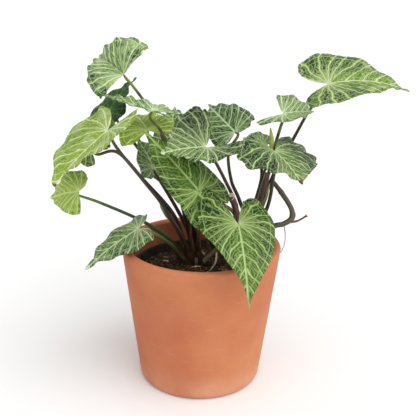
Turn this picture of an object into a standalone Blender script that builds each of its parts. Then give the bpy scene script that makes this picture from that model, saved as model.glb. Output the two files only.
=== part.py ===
"""Arrowhead plant with net-veined leaves, in a nursery pot inside a terracotta cover pot.

Lengths in the tables are millimetres and angles are degrees. The frame has its origin at the
centre of the cover pot's base, +Z up, and the plant's front towards -Y.
"""

import math

import bmesh
import bpy
import numpy as np
from mathutils import Vector, noise

MM = 0.001

# Cover pot, turned from these radii and heights
POT_HEIGHT = 126.5
POT_RIM_RADIUS = 70.0
POT_BASE_RADIUS = 54.0
POT_WALL = 6.5
POT_FLOOR = 8.0
POT_RIM_ROUND = 2.8
POT_FOOT_ROUND = 5.5

# Nursery pot: thin plastic with a rolled lip, hung low inside the cover pot
LINER_RIM_HEIGHT = 106.0
LINER_RIM_RADIUS = 60.0
LINER_BASE_RADIUS = 43.0
LINER_WALL = 1.2
LINER_LIP = 3.0
DRAIN_HOLE_RADIUS = 3.5
DRAIN_HOLE_CIRCLE = 26.0
DRAIN_HOLES = 6

# Soil, filled to a little under the nursery pot's rim
SOIL_HEIGHT = 99.0
SOIL_RINGS = 9
SOIL_RELIEF = 1.6
SOIL_GRAIN = 9.0

SEAT_GAP = 0.3
TURNED_STEPS = 48
ARC_STEPS = 4
SHARP_ANGLE = 40
MERGE = 1e-5

# A crown is the short stem that a shoot's petioles grow from: centre in plan, and radius
CROWNS = {
    "shoot_left": dict(at=(-8, 16), radius=8.5),
    "shoot_back": dict(at=(-4, 38), radius=8.0),
    "shoot_right": dict(at=(40, 12), radius=10.0),
}
CROWN_DEPTH = 14.0
CROWN_RISE = 5.0
CROWN_SIDES = 20

# Petioles: the shoot each grows from, the blade it carries, and the points its curve passes
# between the crown and the blade. A petiole comes to its blade from the back, or down the sinus.
PETIOLE_BASE_RADIUS = 2.0
PETIOLE_TIP_RADIUS = 0.95
PETIOLE_STEP = 9.0
APPROACH = 7.0
PETIOLES = {
    "leaf_left_large": dict(shoot="shoot_left", sinus=True, via=[
        (-13, 6, 118), (-22, -6, 142), (-35, -10, 166), (-52, -10, 188), (-75, -8, 218),
        (-76, -10, 236)]),
    "leaf_left_under": dict(shoot="shoot_left", via=[
        (-16, 12, 122), (-25, -4, 154), (-49, -10, 185), (-71, -9, 209),
        (-88, -5, 206)]),
    "leaf_rim_left": dict(shoot="shoot_left", via=[(-19, 4, 112), (-27, -10, 128), (-42, -18, 141)]),
    "leaf_far_left": dict(shoot="shoot_left", via=[
        (-20, 12, 114), (-33, 7, 130), (-55, 7, 144), (-89, 2, 161)]),
    "leaf_top_left": dict(shoot="shoot_back", via=[
        (-10, 36, 120), (-19, 36, 156), (-34, 37, 205), (-43, 42, 228), (-50, 40, 240),
        (-61, 29, 258)]),
    "leaf_left_back": dict(shoot="shoot_back", via=[
        (-12, 36, 122), (-30, 34, 158), (-54, 30, 198), (-71, 26, 222)]),
    "leaf_left_inner": dict(shoot="shoot_back", via=[
        (-11, 26, 122), (-18, 12, 158), (-26, 3, 190), (-40, 3, 212)]),
    "leaf_edge_on": dict(shoot="shoot_back", via=[
        (-6, 29, 124), (-13, 10, 154), (-18, -2, 180), (-23, -12, 204), (-34, -11, 227)]),
    "leaf_back_dark": dict(shoot="shoot_back", via=[(-8, 44, 130), (-20, 48, 172)]),
    "leaf_centre_under": dict(shoot="shoot_back", via=[(-10, 34, 130), (-22, 18, 164)]),
    "leaf_centre_front": dict(shoot="shoot_right", via=[
        (36, 8, 130), (29, -2, 163), (20, -6, 184), (8, -16, 208)]),
    "leaf_centre_back": dict(shoot="shoot_right", via=[
        (40, 10, 140), (32, 4, 166), (25, 6, 182), (22, 8, 206)]),
    "leaf_centre_low": dict(shoot="shoot_right", sinus=True, via=[
        (33, 4, 128), (28, -8, 156), (13, -24, 172)]),
    "leaf_front_large": dict(shoot="shoot_right", via=[(38, 0, 122), (33, -32, 149)]),
    "leaf_right_large": dict(shoot="shoot_right", via=[
        (48, 10, 130), (58, 6, 160), (61, 2, 186), (62, -3, 202)]),
    "leaf_right_back": dict(shoot="shoot_right", via=[(43, 16, 140), (52, 16, 182)]),
    "leaf_right_small": dict(shoot="shoot_right", via=[
        (46, 16, 140), (58, 18, 184), (62, 17, 208), (66, 9, 230)]),
    "leaf_top_right": dict(shoot="shoot_right", via=[
        (50, 18, 140), (64, 29, 182), (81, 35, 214), (92, 18, 244)]),
}

# Stems of the right shoot: points of each, with the radius there
CUT_STEM = [(33, 6, 104, 3.2), (31.5, -4, 130, 3.0), (29, -10, 160, 2.7), (24.5, -12.5, 173, 3.0)]
MAIN_STEM = [(42, 12, 104, 4.2), (48, 4, 146, 4.0), (53, 3, 174, 3.4), (56, 3, 190, 2.0)]
LOOP_STEM = [(46, 8, 112, 2.6), (60, 0, 140, 2.4), (72, 0, 145, 2.3), (79, 2, 150, 2.6),
             (78, 5, 158, 2.2), (70, 9, 170, 2.2), (62, 10, 180, 1.8)]
DRY_STUB = [(77, 2, 146, 1.3), (84, 2, 147, 0.9), (91, 3, 151, 0.9), (92, 3, 151.8, 1.6)]
CREEPING_STEM = [(43, 10, 116, 2.8), (22, 12, 118, 2.8), (9, 11, 110, 2.7), (2, 8, 104, 2.2)]

# Rolled new leaf and green bud, grown from the right shoot: points with the radius there
NEW_LEAF = [(52, 16, 180, 1.2), (56, 9, 198, 1.2), (58, 4, 211, 1.6), (58, 2, 219, 2.2),
            (56.5, 1, 230, 0.5)]
BUD = [(49, 3, 150, 1.0), (43, -6, 161, 1.3), (39, -10, 166, 1.5), (35, -12, 168.5, 0.8)]

# Blade: half outlines of an arrowhead leaf. x is in half widths, y in lengths of the midrib.
MARGIN = [(0.55, -0.50), (0.80, -0.44), (0.96, -0.25), (1.00, 0.00), (0.97, 0.22), (0.85, 0.42),
          (0.62, 0.60), (0.36, 0.75), (0.13, 0.88), (0.00, 1.00)]
SINUS = [(0.55, -0.50), (0.36, -0.43), (0.18, -0.26), (0.06, -0.09), (0.00, 0.00)]
SINUS_SHARE = 0.30
OUTLINE_STEPS = 200
BLADE_THICKNESS = 0.8
BLADE_ROWS = 13
BLADE_COLUMNS = 4
MIDRIB_STEPS = 40
RUFFLE_POWER = 2.5
SIDE_PHASE = 0.35

# Shape of a blade where its entry in LEAVES says nothing else
PLAIN_BLADE = dict(
    roll=0, fold=15, arch_left=35, arch_right=35, droop=20, bow=0, twist=0, wide_left=1.0,
    wide_right=1.0, taper_left=0.0, taper_right=0.0, lobe_left=1.0, lobe_right=1.0, lift_left=0,
    lift_right=0, splay_left=0.0, splay_right=0.0, ruffle=1.2, waves=4,
)

# Each blade: where its petiole meets it, midrib length, width, then the midrib's heading in plan
# (0 is +X, 90 is +Y), its pitch above level, the roll about it, and the shape of the blade.
LEAVES = {
    "leaf_top_left": dict(
        at=(-68, 20, 269), length=46, width=70, heading=140, pitch=26, roll=50, fold=50,
        arch_left=100, arch_right=85, droop=40, wide_left=0.9, lobe_left=0.15,
        lobe_right=0.15, ruffle=1.4, waves=6),
    "leaf_left_back": dict(
        at=(-83, 30, 237), length=42, width=46, heading=50, pitch=46, roll=10, taper_left=0.7,
        taper_right=0.7),
    "leaf_left_large": dict(
        at=(-77, -25, 231), length=62, width=72, heading=190, pitch=-38, roll=15, bow=-25,
        arch_left=35, arch_right=20, droop=5, wide_left=0.65, taper_left=0.4, taper_right=-0.35,
        lobe_right=0.35,
        splay_left=-0.2, ruffle=1.5),
    "leaf_left_inner": dict(
        at=(-47, 6, 225), length=42, width=50, heading=110, pitch=15, roll=10, fold=20,
        splay_left=0.3, splay_right=0.15),
    "leaf_edge_on": dict(
        at=(-43, 2, 243), length=46, width=38, heading=160, pitch=12, roll=0, arch_left=0,
        arch_right=25, droop=0, ruffle=1.4, waves=6),
    "leaf_back_dark": dict(
        at=(-30.5, 50, 207), length=34, width=32, heading=80, pitch=60),
    "leaf_left_under": dict(
        at=(-98, 10, 209), length=38, width=32, heading=130, pitch=15, roll=40, lift_left=-20),
    "leaf_centre_under": dict(
        at=(-43, 8, 192), length=38, width=34, heading=122, pitch=45, roll=-20, taper_left=0.5,
        lobe_left=0.7),
    "leaf_centre_front": dict(
        at=(2, -33, 221), length=36, width=72, heading=195, pitch=2, roll=24, fold=20,
        arch_left=25, arch_right=-10, wide_left=0.7, lobe_left=1.7, lobe_right=0.4,
        splay_left=-0.1, lift_left=25, ruffle=1.8, waves=5),
    "leaf_centre_back": dict(
        at=(27, 6, 225), length=48, width=42, heading=127, pitch=25, roll=45, lobe_left=0.2,
        lobe_right=0.3, splay_right=-0.5, lift_right=90, ruffle=1.6, waves=5),
    "leaf_right_back": dict(
        at=(50, 8, 213.5), length=17, width=27, heading=185, pitch=25, roll=40, ruffle=0.8),
    "leaf_right_large": dict(
        at=(59.8, -12, 213), length=38, width=92, heading=-45, pitch=-25, roll=10,
        arch_left=30, arch_right=50, wide_left=1.2, lobe_left=0.9, splay_left=0.2, splay_right=-0.6,
        ruffle=1.8, waves=5),
    "leaf_right_small": dict(
        at=(67, 2, 242), length=27, width=40, heading=8, pitch=10, roll=-30, fold=28,
        arch_right=5, lobe_left=0.2, lobe_right=1.9, lift_left=60, ruffle=1.2),
    "leaf_top_right": dict(
        at=(103, 0, 268), length=72, width=72, heading=2, pitch=12, roll=-20, arch_left=0,
        arch_right=20, droop=38, wide_right=0.95, taper_left=0.3, taper_right=0.2,
        lobe_left=0.6, lobe_right=0.65, lift_right=-20, splay_right=0.2),
    "leaf_centre_low": dict(
        at=(-3, -34, 185), length=68, width=40, heading=165, pitch=46, roll=60, arch_left=35,
        arch_right=45, taper_right=0.3, lobe_left=0.8, lobe_right=0.7, splay_left=0.25),
    "leaf_front_large": dict(
        at=(29, -60, 165.4), length=71, width=61, heading=-80, pitch=-30, droop=40, fold=10,
        arch_right=45, taper_left=0.25, taper_right=1.0, lobe_left=0.75, lift_right=25,
        splay_left=-0.1, splay_right=0.15),
    "leaf_rim_left": dict(
        at=(-54, -20, 145), length=56, width=42, heading=203, pitch=-24, roll=5, arch_left=60,
        lobe_left=0.3, lobe_right=0.5),
    "leaf_far_left": dict(
        at=(-107, 0, 171), length=28, width=42, heading=190, pitch=0, roll=50, droop=60,
        lobe_left=0.1, lobe_right=0.6, splay_left=-0.3, ruffle=1.4),
}

# Veins, in the flat blade: laterals leave the midrib at even spaces and arch forward, and below
# the first of them the basal veins fan out from the petiole into the lobe.
LATERALS = 5.5
LATERAL_SLOPE = 0.55
LATERAL_ARCH = 0.005
BASAL_FAN = 30.0
COLLECTING_VEIN = 4.2
BLADE_MESH = 0.62
BLADE_THICKNESS = 0.6
VEIN_SINK = 0.34
MIDRIB_SINK = 0.45
QUILT = 0.42
KNOT = 0.5

# Colours (sRGB, 0 to 1) and roughness of the plain materials
FINISHES = {
    "terracotta": ((0.79, 0.47, 0.33), 0.85),
    "nursery_plastic": ((0.04, 0.04, 0.04), 0.45),
    "soil": ((0.11, 0.08, 0.06), 0.95),
    "petiole": ((0.20, 0.15, 0.10), 0.50),
    "leaf": ((0.38, 0.55, 0.26), 0.45),
}


def spline(points, count):
    """Smooth curve through the points, read at count places an even distance apart."""
    ends = [2 * points[0] - points[1], *points, 2 * points[-1] - points[-2]]
    fine = []
    for a, b, c, d in zip(ends, ends[1:], ends[2:], ends[3:]):
        for t in np.arange(12) / 12:
            fine.append(0.5 * (2 * b + (c - a) * t + (2 * a - 5 * b + 4 * c - d) * t**2
                               + (3 * b - a - 3 * c + d) * t**3))
    fine = np.array([*fine, points[-1]])
    run = np.concatenate([[0], np.cumsum(np.linalg.norm(np.diff(fine[:, :3], axis=0), axis=1))])
    even = np.linspace(0, run[-1], count)
    return np.stack([np.interp(even, run, axis) for axis in fine.T], axis=-1)


def flat_half(along, across):
    """Half of a flat blade at shares along the outline (0 lobe tip, 1 drip tip) and across it."""
    outer = spline(np.array(MARGIN), OUTLINE_STEPS + 1)
    sinus_count = round(OUTLINE_STEPS * SINUS_SHARE)
    sinus = spline(np.array(SINUS), sinus_count + 1)
    midrib = np.linspace(0, 1, OUTLINE_STEPS - sinus_count + 1)[1:]
    inner = np.vstack([sinus, np.stack([0 * midrib, midrib], axis=-1)])
    share = np.linspace(0, 1, OUTLINE_STEPS + 1)
    edge = [np.interp(along, share, curve[:, k]) for curve in (inner, outer) for k in (0, 1)]
    x = edge[0] + (edge[2] - edge[0]) * across
    y = edge[1] + (edge[3] - edge[1]) * across
    return x, y


def midrib_frames(leaf):
    """Points and axes along the midrib, in the blade's own frame: x across, y along, z up."""
    u = np.linspace(0, 1, MIDRIB_STEPS + 1)
    yaw = math.radians(leaf["bow"]) * u
    pitch = -math.radians(leaf["droop"]) * u
    twist = math.radians(leaf["twist"]) * u
    along = np.stack([np.sin(yaw) * np.cos(pitch), np.cos(yaw) * np.cos(pitch), np.sin(pitch)], -1)
    steps = (along[1:] + along[:-1]) / 2 * leaf["length"] / MIDRIB_STEPS
    points = np.vstack([[0, 0, 0], np.cumsum(steps, axis=0)])
    level = np.stack([np.cos(yaw), -np.sin(yaw), 0 * yaw], -1)
    up = np.cross(level, along)
    across = level * np.cos(twist)[:, None] + up * np.sin(twist)[:, None]
    return u, points, across, np.cross(across, along)


def blade_points(entry, side, along, across):
    """Blade points in the part's frame, for one side: -1 is left of the midrib, 1 is right."""
    leaf = {**PLAIN_BLADE, **entry}
    hand = "right" if side > 0 else "left"
    length, half_width = leaf["length"], leaf["width"] / 2
    x, y = flat_half(along, across)
    x = x * leaf["wide_" + hand] * (1 - np.clip(y, 0, 0.999)) ** leaf["taper_" + hand]
    y = np.where(y < 0, y * leaf["lobe_" + hand], y) * length
    x = x * half_width + np.maximum(-y, 0) * leaf["splay_" + hand]

    fold = math.radians(leaf["fold"])
    bend = math.radians(leaf["arch_" + hand]) / half_width + 1e-6
    out = (math.sin(fold) - np.sin(fold - bend * x)) / bend * side
    rise = (np.cos(fold - bend * x) - math.cos(fold)) / bend
    wave = np.sin(math.tau * (leaf["waves"] * along + SIDE_PHASE * (side > 0)))
    rise = rise + leaf["ruffle"] * across**RUFFLE_POWER * wave

    u, points, right, up = midrib_frames(leaf)
    share = np.clip(y / length, 0, 1)
    mid, right, up = (
        np.stack([np.interp(share, u, curve[:, k]) for k in range(3)], -1)
        for curve in (points, right, up)
    )
    front = mid + right * out[..., None] + up * rise[..., None]
    back = np.maximum(-y, 0)
    curve = math.radians(leaf["lift_" + hand]) / (0.5 * length) + 1e-6
    turn = curve * back
    lobe = np.stack([out, rise * np.sin(turn) - np.sin(turn) / curve,
                     rise * np.cos(turn) + (1 - np.cos(turn)) / curve], -1)
    local = np.where((y >= 0)[..., None], front, lobe)
    return local @ blade_axes(leaf) + np.array(leaf["at"], dtype=float)


def blade_axes(leaf):
    """Rows are the blade's right, forward and up directions where the petiole meets it."""
    heading, pitch, roll = (math.radians(leaf.get(k, 0)) for k in ("heading", "pitch", "roll"))
    forward = np.array([math.cos(heading) * math.cos(pitch), math.sin(heading) * math.cos(pitch),
                        math.sin(pitch)])
    level = np.array([math.sin(heading), -math.cos(heading), 0.0])
    up = np.cross(level, forward)
    right = level * math.cos(roll) + up * math.sin(roll)
    return np.array([right, forward, np.cross(right, forward)])


def finish(name):
    """Plain Principled material for one of the object's finishes, made once."""
    material = bpy.data.materials.get(name)
    if material:
        return material
    colour, roughness = FINISHES[name]
    material = bpy.data.materials.new(name)
    material.use_nodes = True
    shader = material.node_tree.nodes["Principled BSDF"]
    shader.inputs["Base Color"].default_value = (*(c**2.2 for c in colour), 1)
    shader.inputs["Roughness"].default_value = roughness
    return material


def new_object(name, mesh, collection, material):
    """Object for a mesh, in its collection, shaded smooth, with its material."""
    mesh.shade_smooth()
    mesh.set_sharp_from_angle(angle=math.radians(SHARP_ANGLE))
    mesh.materials.clear()
    mesh.materials.append(finish(material))
    piece = bpy.data.objects.new(name, mesh)
    collection.objects.link(piece)
    return piece


def baked(piece, name, collection, material):
    """Replace an object by its evaluated mesh, with doubled points merged."""
    graph = bpy.context.evaluated_depsgraph_get()
    mesh = bpy.data.meshes.new_from_object(piece.evaluated_get(graph))
    mesh.transform(piece.matrix_world)
    work = bmesh.new()
    work.from_mesh(mesh)
    bmesh.ops.remove_doubles(work, verts=work.verts, dist=MERGE)
    work.to_mesh(mesh)
    work.free()
    bpy.data.objects.remove(piece)
    return new_object(name, mesh, collection, material)


def arc(x, z, radius, start, end):
    """Points of a quarter round in a profile, angles in degrees from +X towards +Z."""
    angles = np.radians(np.linspace(start, end, ARC_STEPS + 1))
    return [(x + radius * math.cos(a), z + radius * math.sin(a)) for a in angles]


def turned(name, profile, collection, material):
    """Solid of revolution about Z from a profile in (radius, height), outer side downwards."""
    mesh = bpy.data.meshes.new(name)
    points = [(r * MM, 0, z * MM) for r, z in profile]
    mesh.from_pydata(points, [(i, i + 1) for i in range(len(points) - 1)], [])
    piece = new_object(name, mesh, collection, material)
    screw = piece.modifiers.new("Turn", "SCREW")
    screw.steps = screw.render_steps = TURNED_STEPS
    screw.use_merge_vertices = True
    screw.merge_threshold = MERGE
    return baked(piece, name, collection, material)


def cylinder(name, radius, low, high, at, sides, collection):
    """Upright cylinder between two heights."""
    work = bmesh.new()
    bmesh.ops.create_cone(work, cap_ends=True, segments=sides, radius1=radius * MM,
                          radius2=radius * MM, depth=(high - low) * MM)
    centre = Vector((at[0], at[1], (low + high) / 2)) * MM
    bmesh.ops.translate(work, verts=work.verts, vec=centre)
    mesh = bpy.data.meshes.new(name)
    work.to_mesh(mesh)
    work.free()
    return new_object(name, mesh, collection, "petiole")


def boolean(piece, operation, others):
    """Cut or join all objects of a collection in one Boolean."""
    modifier = piece.modifiers.new(operation.title(), "BOOLEAN")
    modifier.operation = operation
    modifier.operand_type = "COLLECTION"
    modifier.collection = others
    modifier.solver = "EXACT"


def tube(name, stations, sides_level, collection, material):
    """Tapered round stem through (x, y, z, radius) stations, as a closed mesh."""
    stations = np.array(stations, dtype=float)
    length = np.linalg.norm(np.diff(stations[:, :3], axis=0), axis=1).sum()
    points = spline(stations, max(4, round(length / PETIOLE_STEP) + 1))
    curve = bpy.data.curves.new(name, "CURVE")
    curve.dimensions = "3D"
    curve.bevel_depth = MM
    curve.bevel_resolution = sides_level
    curve.use_fill_caps = True
    line = curve.splines.new("POLY")
    line.points.add(len(points) - 1)
    for point, (x, y, z, radius) in zip(line.points, points):
        point.co = (x * MM, y * MM, z * MM, 1)
        point.radius = radius
    piece = bpy.data.objects.new(name, curve)
    collection.objects.link(piece)
    return baked(piece, name, collection, material)


def petiole_stations(name, petiole):
    """Stations from the crown through the petiole's points to its seat under the blade."""
    crown = CROWNS[petiole["shoot"]]
    leaf = LEAVES[name]
    _, forward, up = blade_axes(leaf)
    away = -up
    if petiole.get("sinus"):
        away = -0.75 * forward - 0.66 * up
    tilt = math.sqrt(max(0.0, 1 - float(away @ -up) ** 2))
    clear = BLADE_THICKNESS / 2 + SEAT_GAP + 1.2 * PETIOLE_TIP_RADIUS * tilt
    seat = np.array(leaf["at"]) - up * clear
    start = np.array([*crown["at"], SOIL_HEIGHT + 1.0])
    lean = np.array(petiole["via"][0]) - start
    lean[2] = 0
    start = start + lean / max(np.linalg.norm(lean), 1e-6) * crown["radius"] * 0.4
    points = [start, *petiole["via"], seat + away * APPROACH, seat]
    shares = np.linspace(0, 1, len(points))
    radii = PETIOLE_BASE_RADIUS + (PETIOLE_TIP_RADIUS - PETIOLE_BASE_RADIUS) * shares
    return [(*point, radius) for point, radius in zip(points, radii)]


def make_cover_pot(plant):
    """Terracotta pot with a rounded rim and foot and a plain flat base."""
    slope = (POT_RIM_RADIUS - POT_BASE_RADIUS) / POT_HEIGHT
    inner_rim = POT_RIM_RADIUS - POT_WALL
    inner_base = POT_BASE_RADIUS - POT_WALL + slope * POT_FLOOR
    top = POT_HEIGHT - POT_RIM_ROUND
    profile = [(0, POT_FLOOR), (inner_base - 3, POT_FLOOR), (inner_base, POT_FLOOR + 3)]
    profile += arc(inner_rim + POT_RIM_ROUND, top, POT_RIM_ROUND, 180, 90)
    profile += arc(POT_RIM_RADIUS - POT_RIM_ROUND, top, POT_RIM_ROUND, 90, 0)
    profile += arc(POT_BASE_RADIUS - POT_FOOT_ROUND + 1, POT_FOOT_ROUND, POT_FOOT_ROUND, 0, -90)
    profile.append((0, 0))
    return turned("terracotta_pot", profile, plant, "terracotta")


def make_liner(plant, cutters):
    """Thin plastic nursery pot with a flat lip and drain holes in its floor."""
    floor = POT_FLOOR + SEAT_GAP
    inner_base = LINER_BASE_RADIUS - LINER_WALL
    inner_rim = LINER_RIM_RADIUS - LINER_LIP
    profile = [
        (0, floor + LINER_WALL), (inner_base, floor + LINER_WALL), (inner_rim, LINER_RIM_HEIGHT),
        (LINER_RIM_RADIUS, LINER_RIM_HEIGHT), (LINER_RIM_RADIUS, LINER_RIM_HEIGHT - LINER_LIP),
        (inner_rim + LINER_WALL - 0.1, LINER_RIM_HEIGHT - LINER_LIP), (LINER_BASE_RADIUS, floor),
        (0, floor),
    ]
    liner = turned("nursery_pot", profile, plant, "nursery_plastic")
    for k in range(DRAIN_HOLES):
        turn = math.tau * k / DRAIN_HOLES
        at = (DRAIN_HOLE_CIRCLE * math.cos(turn), DRAIN_HOLE_CIRCLE * math.sin(turn))
        cylinder(f"drain_{k}", DRAIN_HOLE_RADIUS, floor - 3, floor + LINER_WALL + 1, at, 12, cutters)
    boolean(liner, "DIFFERENCE", cutters)
    return baked(liner, "nursery_pot", plant, "nursery_plastic")


def make_soil(plant, holes):
    """Potting soil with a lumpy top and a plain hole for each crown."""
    floor = POT_FLOOR + SEAT_GAP + LINER_WALL + SEAT_GAP
    inner_base = LINER_BASE_RADIUS - LINER_WALL
    slope = (LINER_RIM_RADIUS - LINER_LIP - inner_base) / (LINER_RIM_HEIGHT - floor)
    radius = inner_base + slope * (SOIL_HEIGHT - floor) - 2 * SEAT_GAP
    rings = [(radius * k / SOIL_RINGS, SOIL_HEIGHT) for k in range(SOIL_RINGS + 1)]
    profile = [*rings, (inner_base - 2 * SEAT_GAP, floor), (0, floor)]
    soil = turned("potting_soil", profile, plant, "soil")
    for vertex in soil.data.vertices:
        if vertex.co.z > (SOIL_HEIGHT - 1) * MM:
            lump = noise.noise(vertex.co / (SOIL_GRAIN * MM))
            vertex.co.z += SOIL_RELIEF * MM * lump
    for name, crown in CROWNS.items():
        cylinder("hole_" + name, crown["radius"] + SEAT_GAP, SOIL_HEIGHT - CROWN_DEPTH - SEAT_GAP,
                 SOIL_HEIGHT + 9, crown["at"], CROWN_SIDES, holes)
    boolean(soil, "DIFFERENCE", holes)
    return baked(soil, "potting_soil", plant, "soil")


def make_shoot(name, plant):
    """Crown with every petiole, and for the right shoot every stem, joined into one body."""
    crown = CROWNS[name]
    limbs = bpy.data.collections.new(name + "_limbs")
    bpy.context.scene.collection.children.link(limbs)
    base = cylinder(name, crown["radius"], SOIL_HEIGHT - CROWN_DEPTH, SOIL_HEIGHT + CROWN_RISE,
                    crown["at"], CROWN_SIDES, plant)
    for leaf, petiole in PETIOLES.items():
        if petiole["shoot"] == name:
            tube("petiole_" + leaf, petiole_stations(leaf, petiole), 1, limbs, "petiole")
    if name == "shoot_right":
        for stem in (CUT_STEM, MAIN_STEM, LOOP_STEM, DRY_STUB, CREEPING_STEM, NEW_LEAF, BUD):
            tube("stem", stem, 2, limbs, "petiole")
    boolean(base, "UNION", limbs)
    shoot = baked(base, name, plant, "petiole")
    for limb in list(limbs.objects):
        bpy.data.objects.remove(limb)
    bpy.data.collections.remove(limbs)
    return shoot


def make_blade(name, plant):
    """Waved blade of one leaf: two halves laid on grids, merged at the midrib and thickened."""
    work = bmesh.new()
    for side in (-1, 1):
        made = bmesh.ops.create_grid(work, x_segments=BLADE_COLUMNS, y_segments=BLADE_ROWS, size=1)
        verts = made["verts"]
        across = np.array([(v.co.x + 1) / 2 for v in verts])
        along = np.array([(v.co.y + 1) / 2 for v in verts])
        for vertex, point in zip(verts, blade_points(LEAVES[name], side, along, across)):
            vertex.co = Vector(point) * MM
        if side < 0:
            faces = {face for vertex in verts for face in vertex.link_faces}
            bmesh.ops.reverse_faces(work, faces=list(faces))
    bmesh.ops.remove_doubles(work, verts=work.verts, dist=MERGE)
    bmesh.ops.triangulate(work, faces=work.faces)
    mesh = bpy.data.meshes.new(name)
    work.to_mesh(mesh)
    work.free()
    blade = new_object(name, mesh, plant, "leaf")
    skin = blade.modifiers.new("Thickness", "SOLIDIFY")
    skin.thickness = BLADE_THICKNESS * MM
    skin.offset = 0
    return blade


def build():
    for old in list(bpy.data.objects):
        bpy.data.objects.remove(old)
    groups = {}
    for name in ("ArrowheadPlant", "DrainCutters", "SoilCutters"):
        groups[name] = bpy.data.collections.new(name)
        bpy.context.scene.collection.children.link(groups[name])
    plant = groups["ArrowheadPlant"]
    make_cover_pot(plant)
    make_liner(plant, groups["DrainCutters"])
    make_soil(plant, groups["SoilCutters"])
    for name in CROWNS:
        make_shoot(name, plant)
    for name in LEAVES:
        make_blade(name, plant)
    for cutters in (groups["DrainCutters"], groups["SoilCutters"]):
        for cutter in cutters.objects:
            cutter.hide_render = True
            cutter.display_type = "WIRE"


if __name__ == "__main__":
    build()
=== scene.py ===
"""Looks of the arrowhead plant in its terracotta pot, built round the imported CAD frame.

Tables hold millimetres and degrees, as the part's source does; meshes are made in metres. The
plant's front faces -Y. Every piece rides on the one body, and the plant's routes and blade shapes
are those of the solids that it stands for, made finer, with veins, hairs, crumbs and wear added.
"""

import math
import random

import bpy
import numpy as np
from mathutils import Matrix, Vector, noise


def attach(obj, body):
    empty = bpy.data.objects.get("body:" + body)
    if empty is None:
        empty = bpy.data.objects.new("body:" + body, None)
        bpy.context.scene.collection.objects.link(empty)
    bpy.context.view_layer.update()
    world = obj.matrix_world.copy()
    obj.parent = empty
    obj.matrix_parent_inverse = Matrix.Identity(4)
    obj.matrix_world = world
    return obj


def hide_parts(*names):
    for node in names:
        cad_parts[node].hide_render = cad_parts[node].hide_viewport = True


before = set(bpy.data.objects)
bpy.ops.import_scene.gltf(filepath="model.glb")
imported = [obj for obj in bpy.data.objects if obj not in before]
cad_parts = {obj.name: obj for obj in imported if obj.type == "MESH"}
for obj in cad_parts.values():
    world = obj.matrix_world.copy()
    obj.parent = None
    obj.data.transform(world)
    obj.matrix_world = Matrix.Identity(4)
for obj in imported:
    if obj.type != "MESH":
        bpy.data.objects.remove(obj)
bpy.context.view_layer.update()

MM = 0.001
MERGE = 1e-5
BODY = "root"

# Terracotta cover pot and what fills it, as in the part's source
POT_HEIGHT = 126.5
POT_RIM_RADIUS = 70.0
POT_BASE_RADIUS = 54.0
POT_WALL = 6.5
POT_FLOOR = 8.0
POT_RIM_ROUND = 2.8
POT_FOOT_ROUND = 5.5
POT_SIDES = 180
POT_HUB = 10.0
POT_WANDER = 0.12
OUTER_RINGS = 14
INNER_RINGS = 8
ROUND_STEPS = 8
SOIL_HEIGHT = 99.0
SOIL_TOP_RADIUS = 55.4
SOIL_BASE_RADIUS = 41.2
SOIL_FLOOR = 9.8
SOIL_SIDES = 200
SOIL_RINGS = 56
# Relief of the soil's top: how high each kind of lump stands, and how wide it is
SOIL_LUMPS = [(1.6, 9.0), (1.1, 2.6), (0.5, 1.2)]
CRUMBS = 330
CRUMB_SIZES = (0.7, 0.9, 1.2, 1.6, 2.1)
CRUMB_SHAPE = (1.2, 0.9, 0.7)
CHIP_SHAPE = (1.9, 0.9, 0.45)
CHIP_EVERY = 6
FIBRES = 46
SEED = 7

# Crowns: centre in plan and radius of the short stem each shoot's petioles grow from
CROWNS = {
    "shoot_left": dict(at=(-8, 16), radius=8.5),
    "shoot_back": dict(at=(-4, 38), radius=8.0),
    "shoot_right": dict(at=(40, 12), radius=10.0),
}
CROWN_DEPTH = 14.0
CROWN_RISE = 5.0
# Top of a crown: share of its radius, and height over its highest ring
CROWN_TOP = [(1.0, -7.0), (0.98, -4.0), (0.90, -2.0), (0.72, -0.6), (0.40, 0.0), (0.12, 0.2)]
CROWN_LOBE = 0.12

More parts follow.
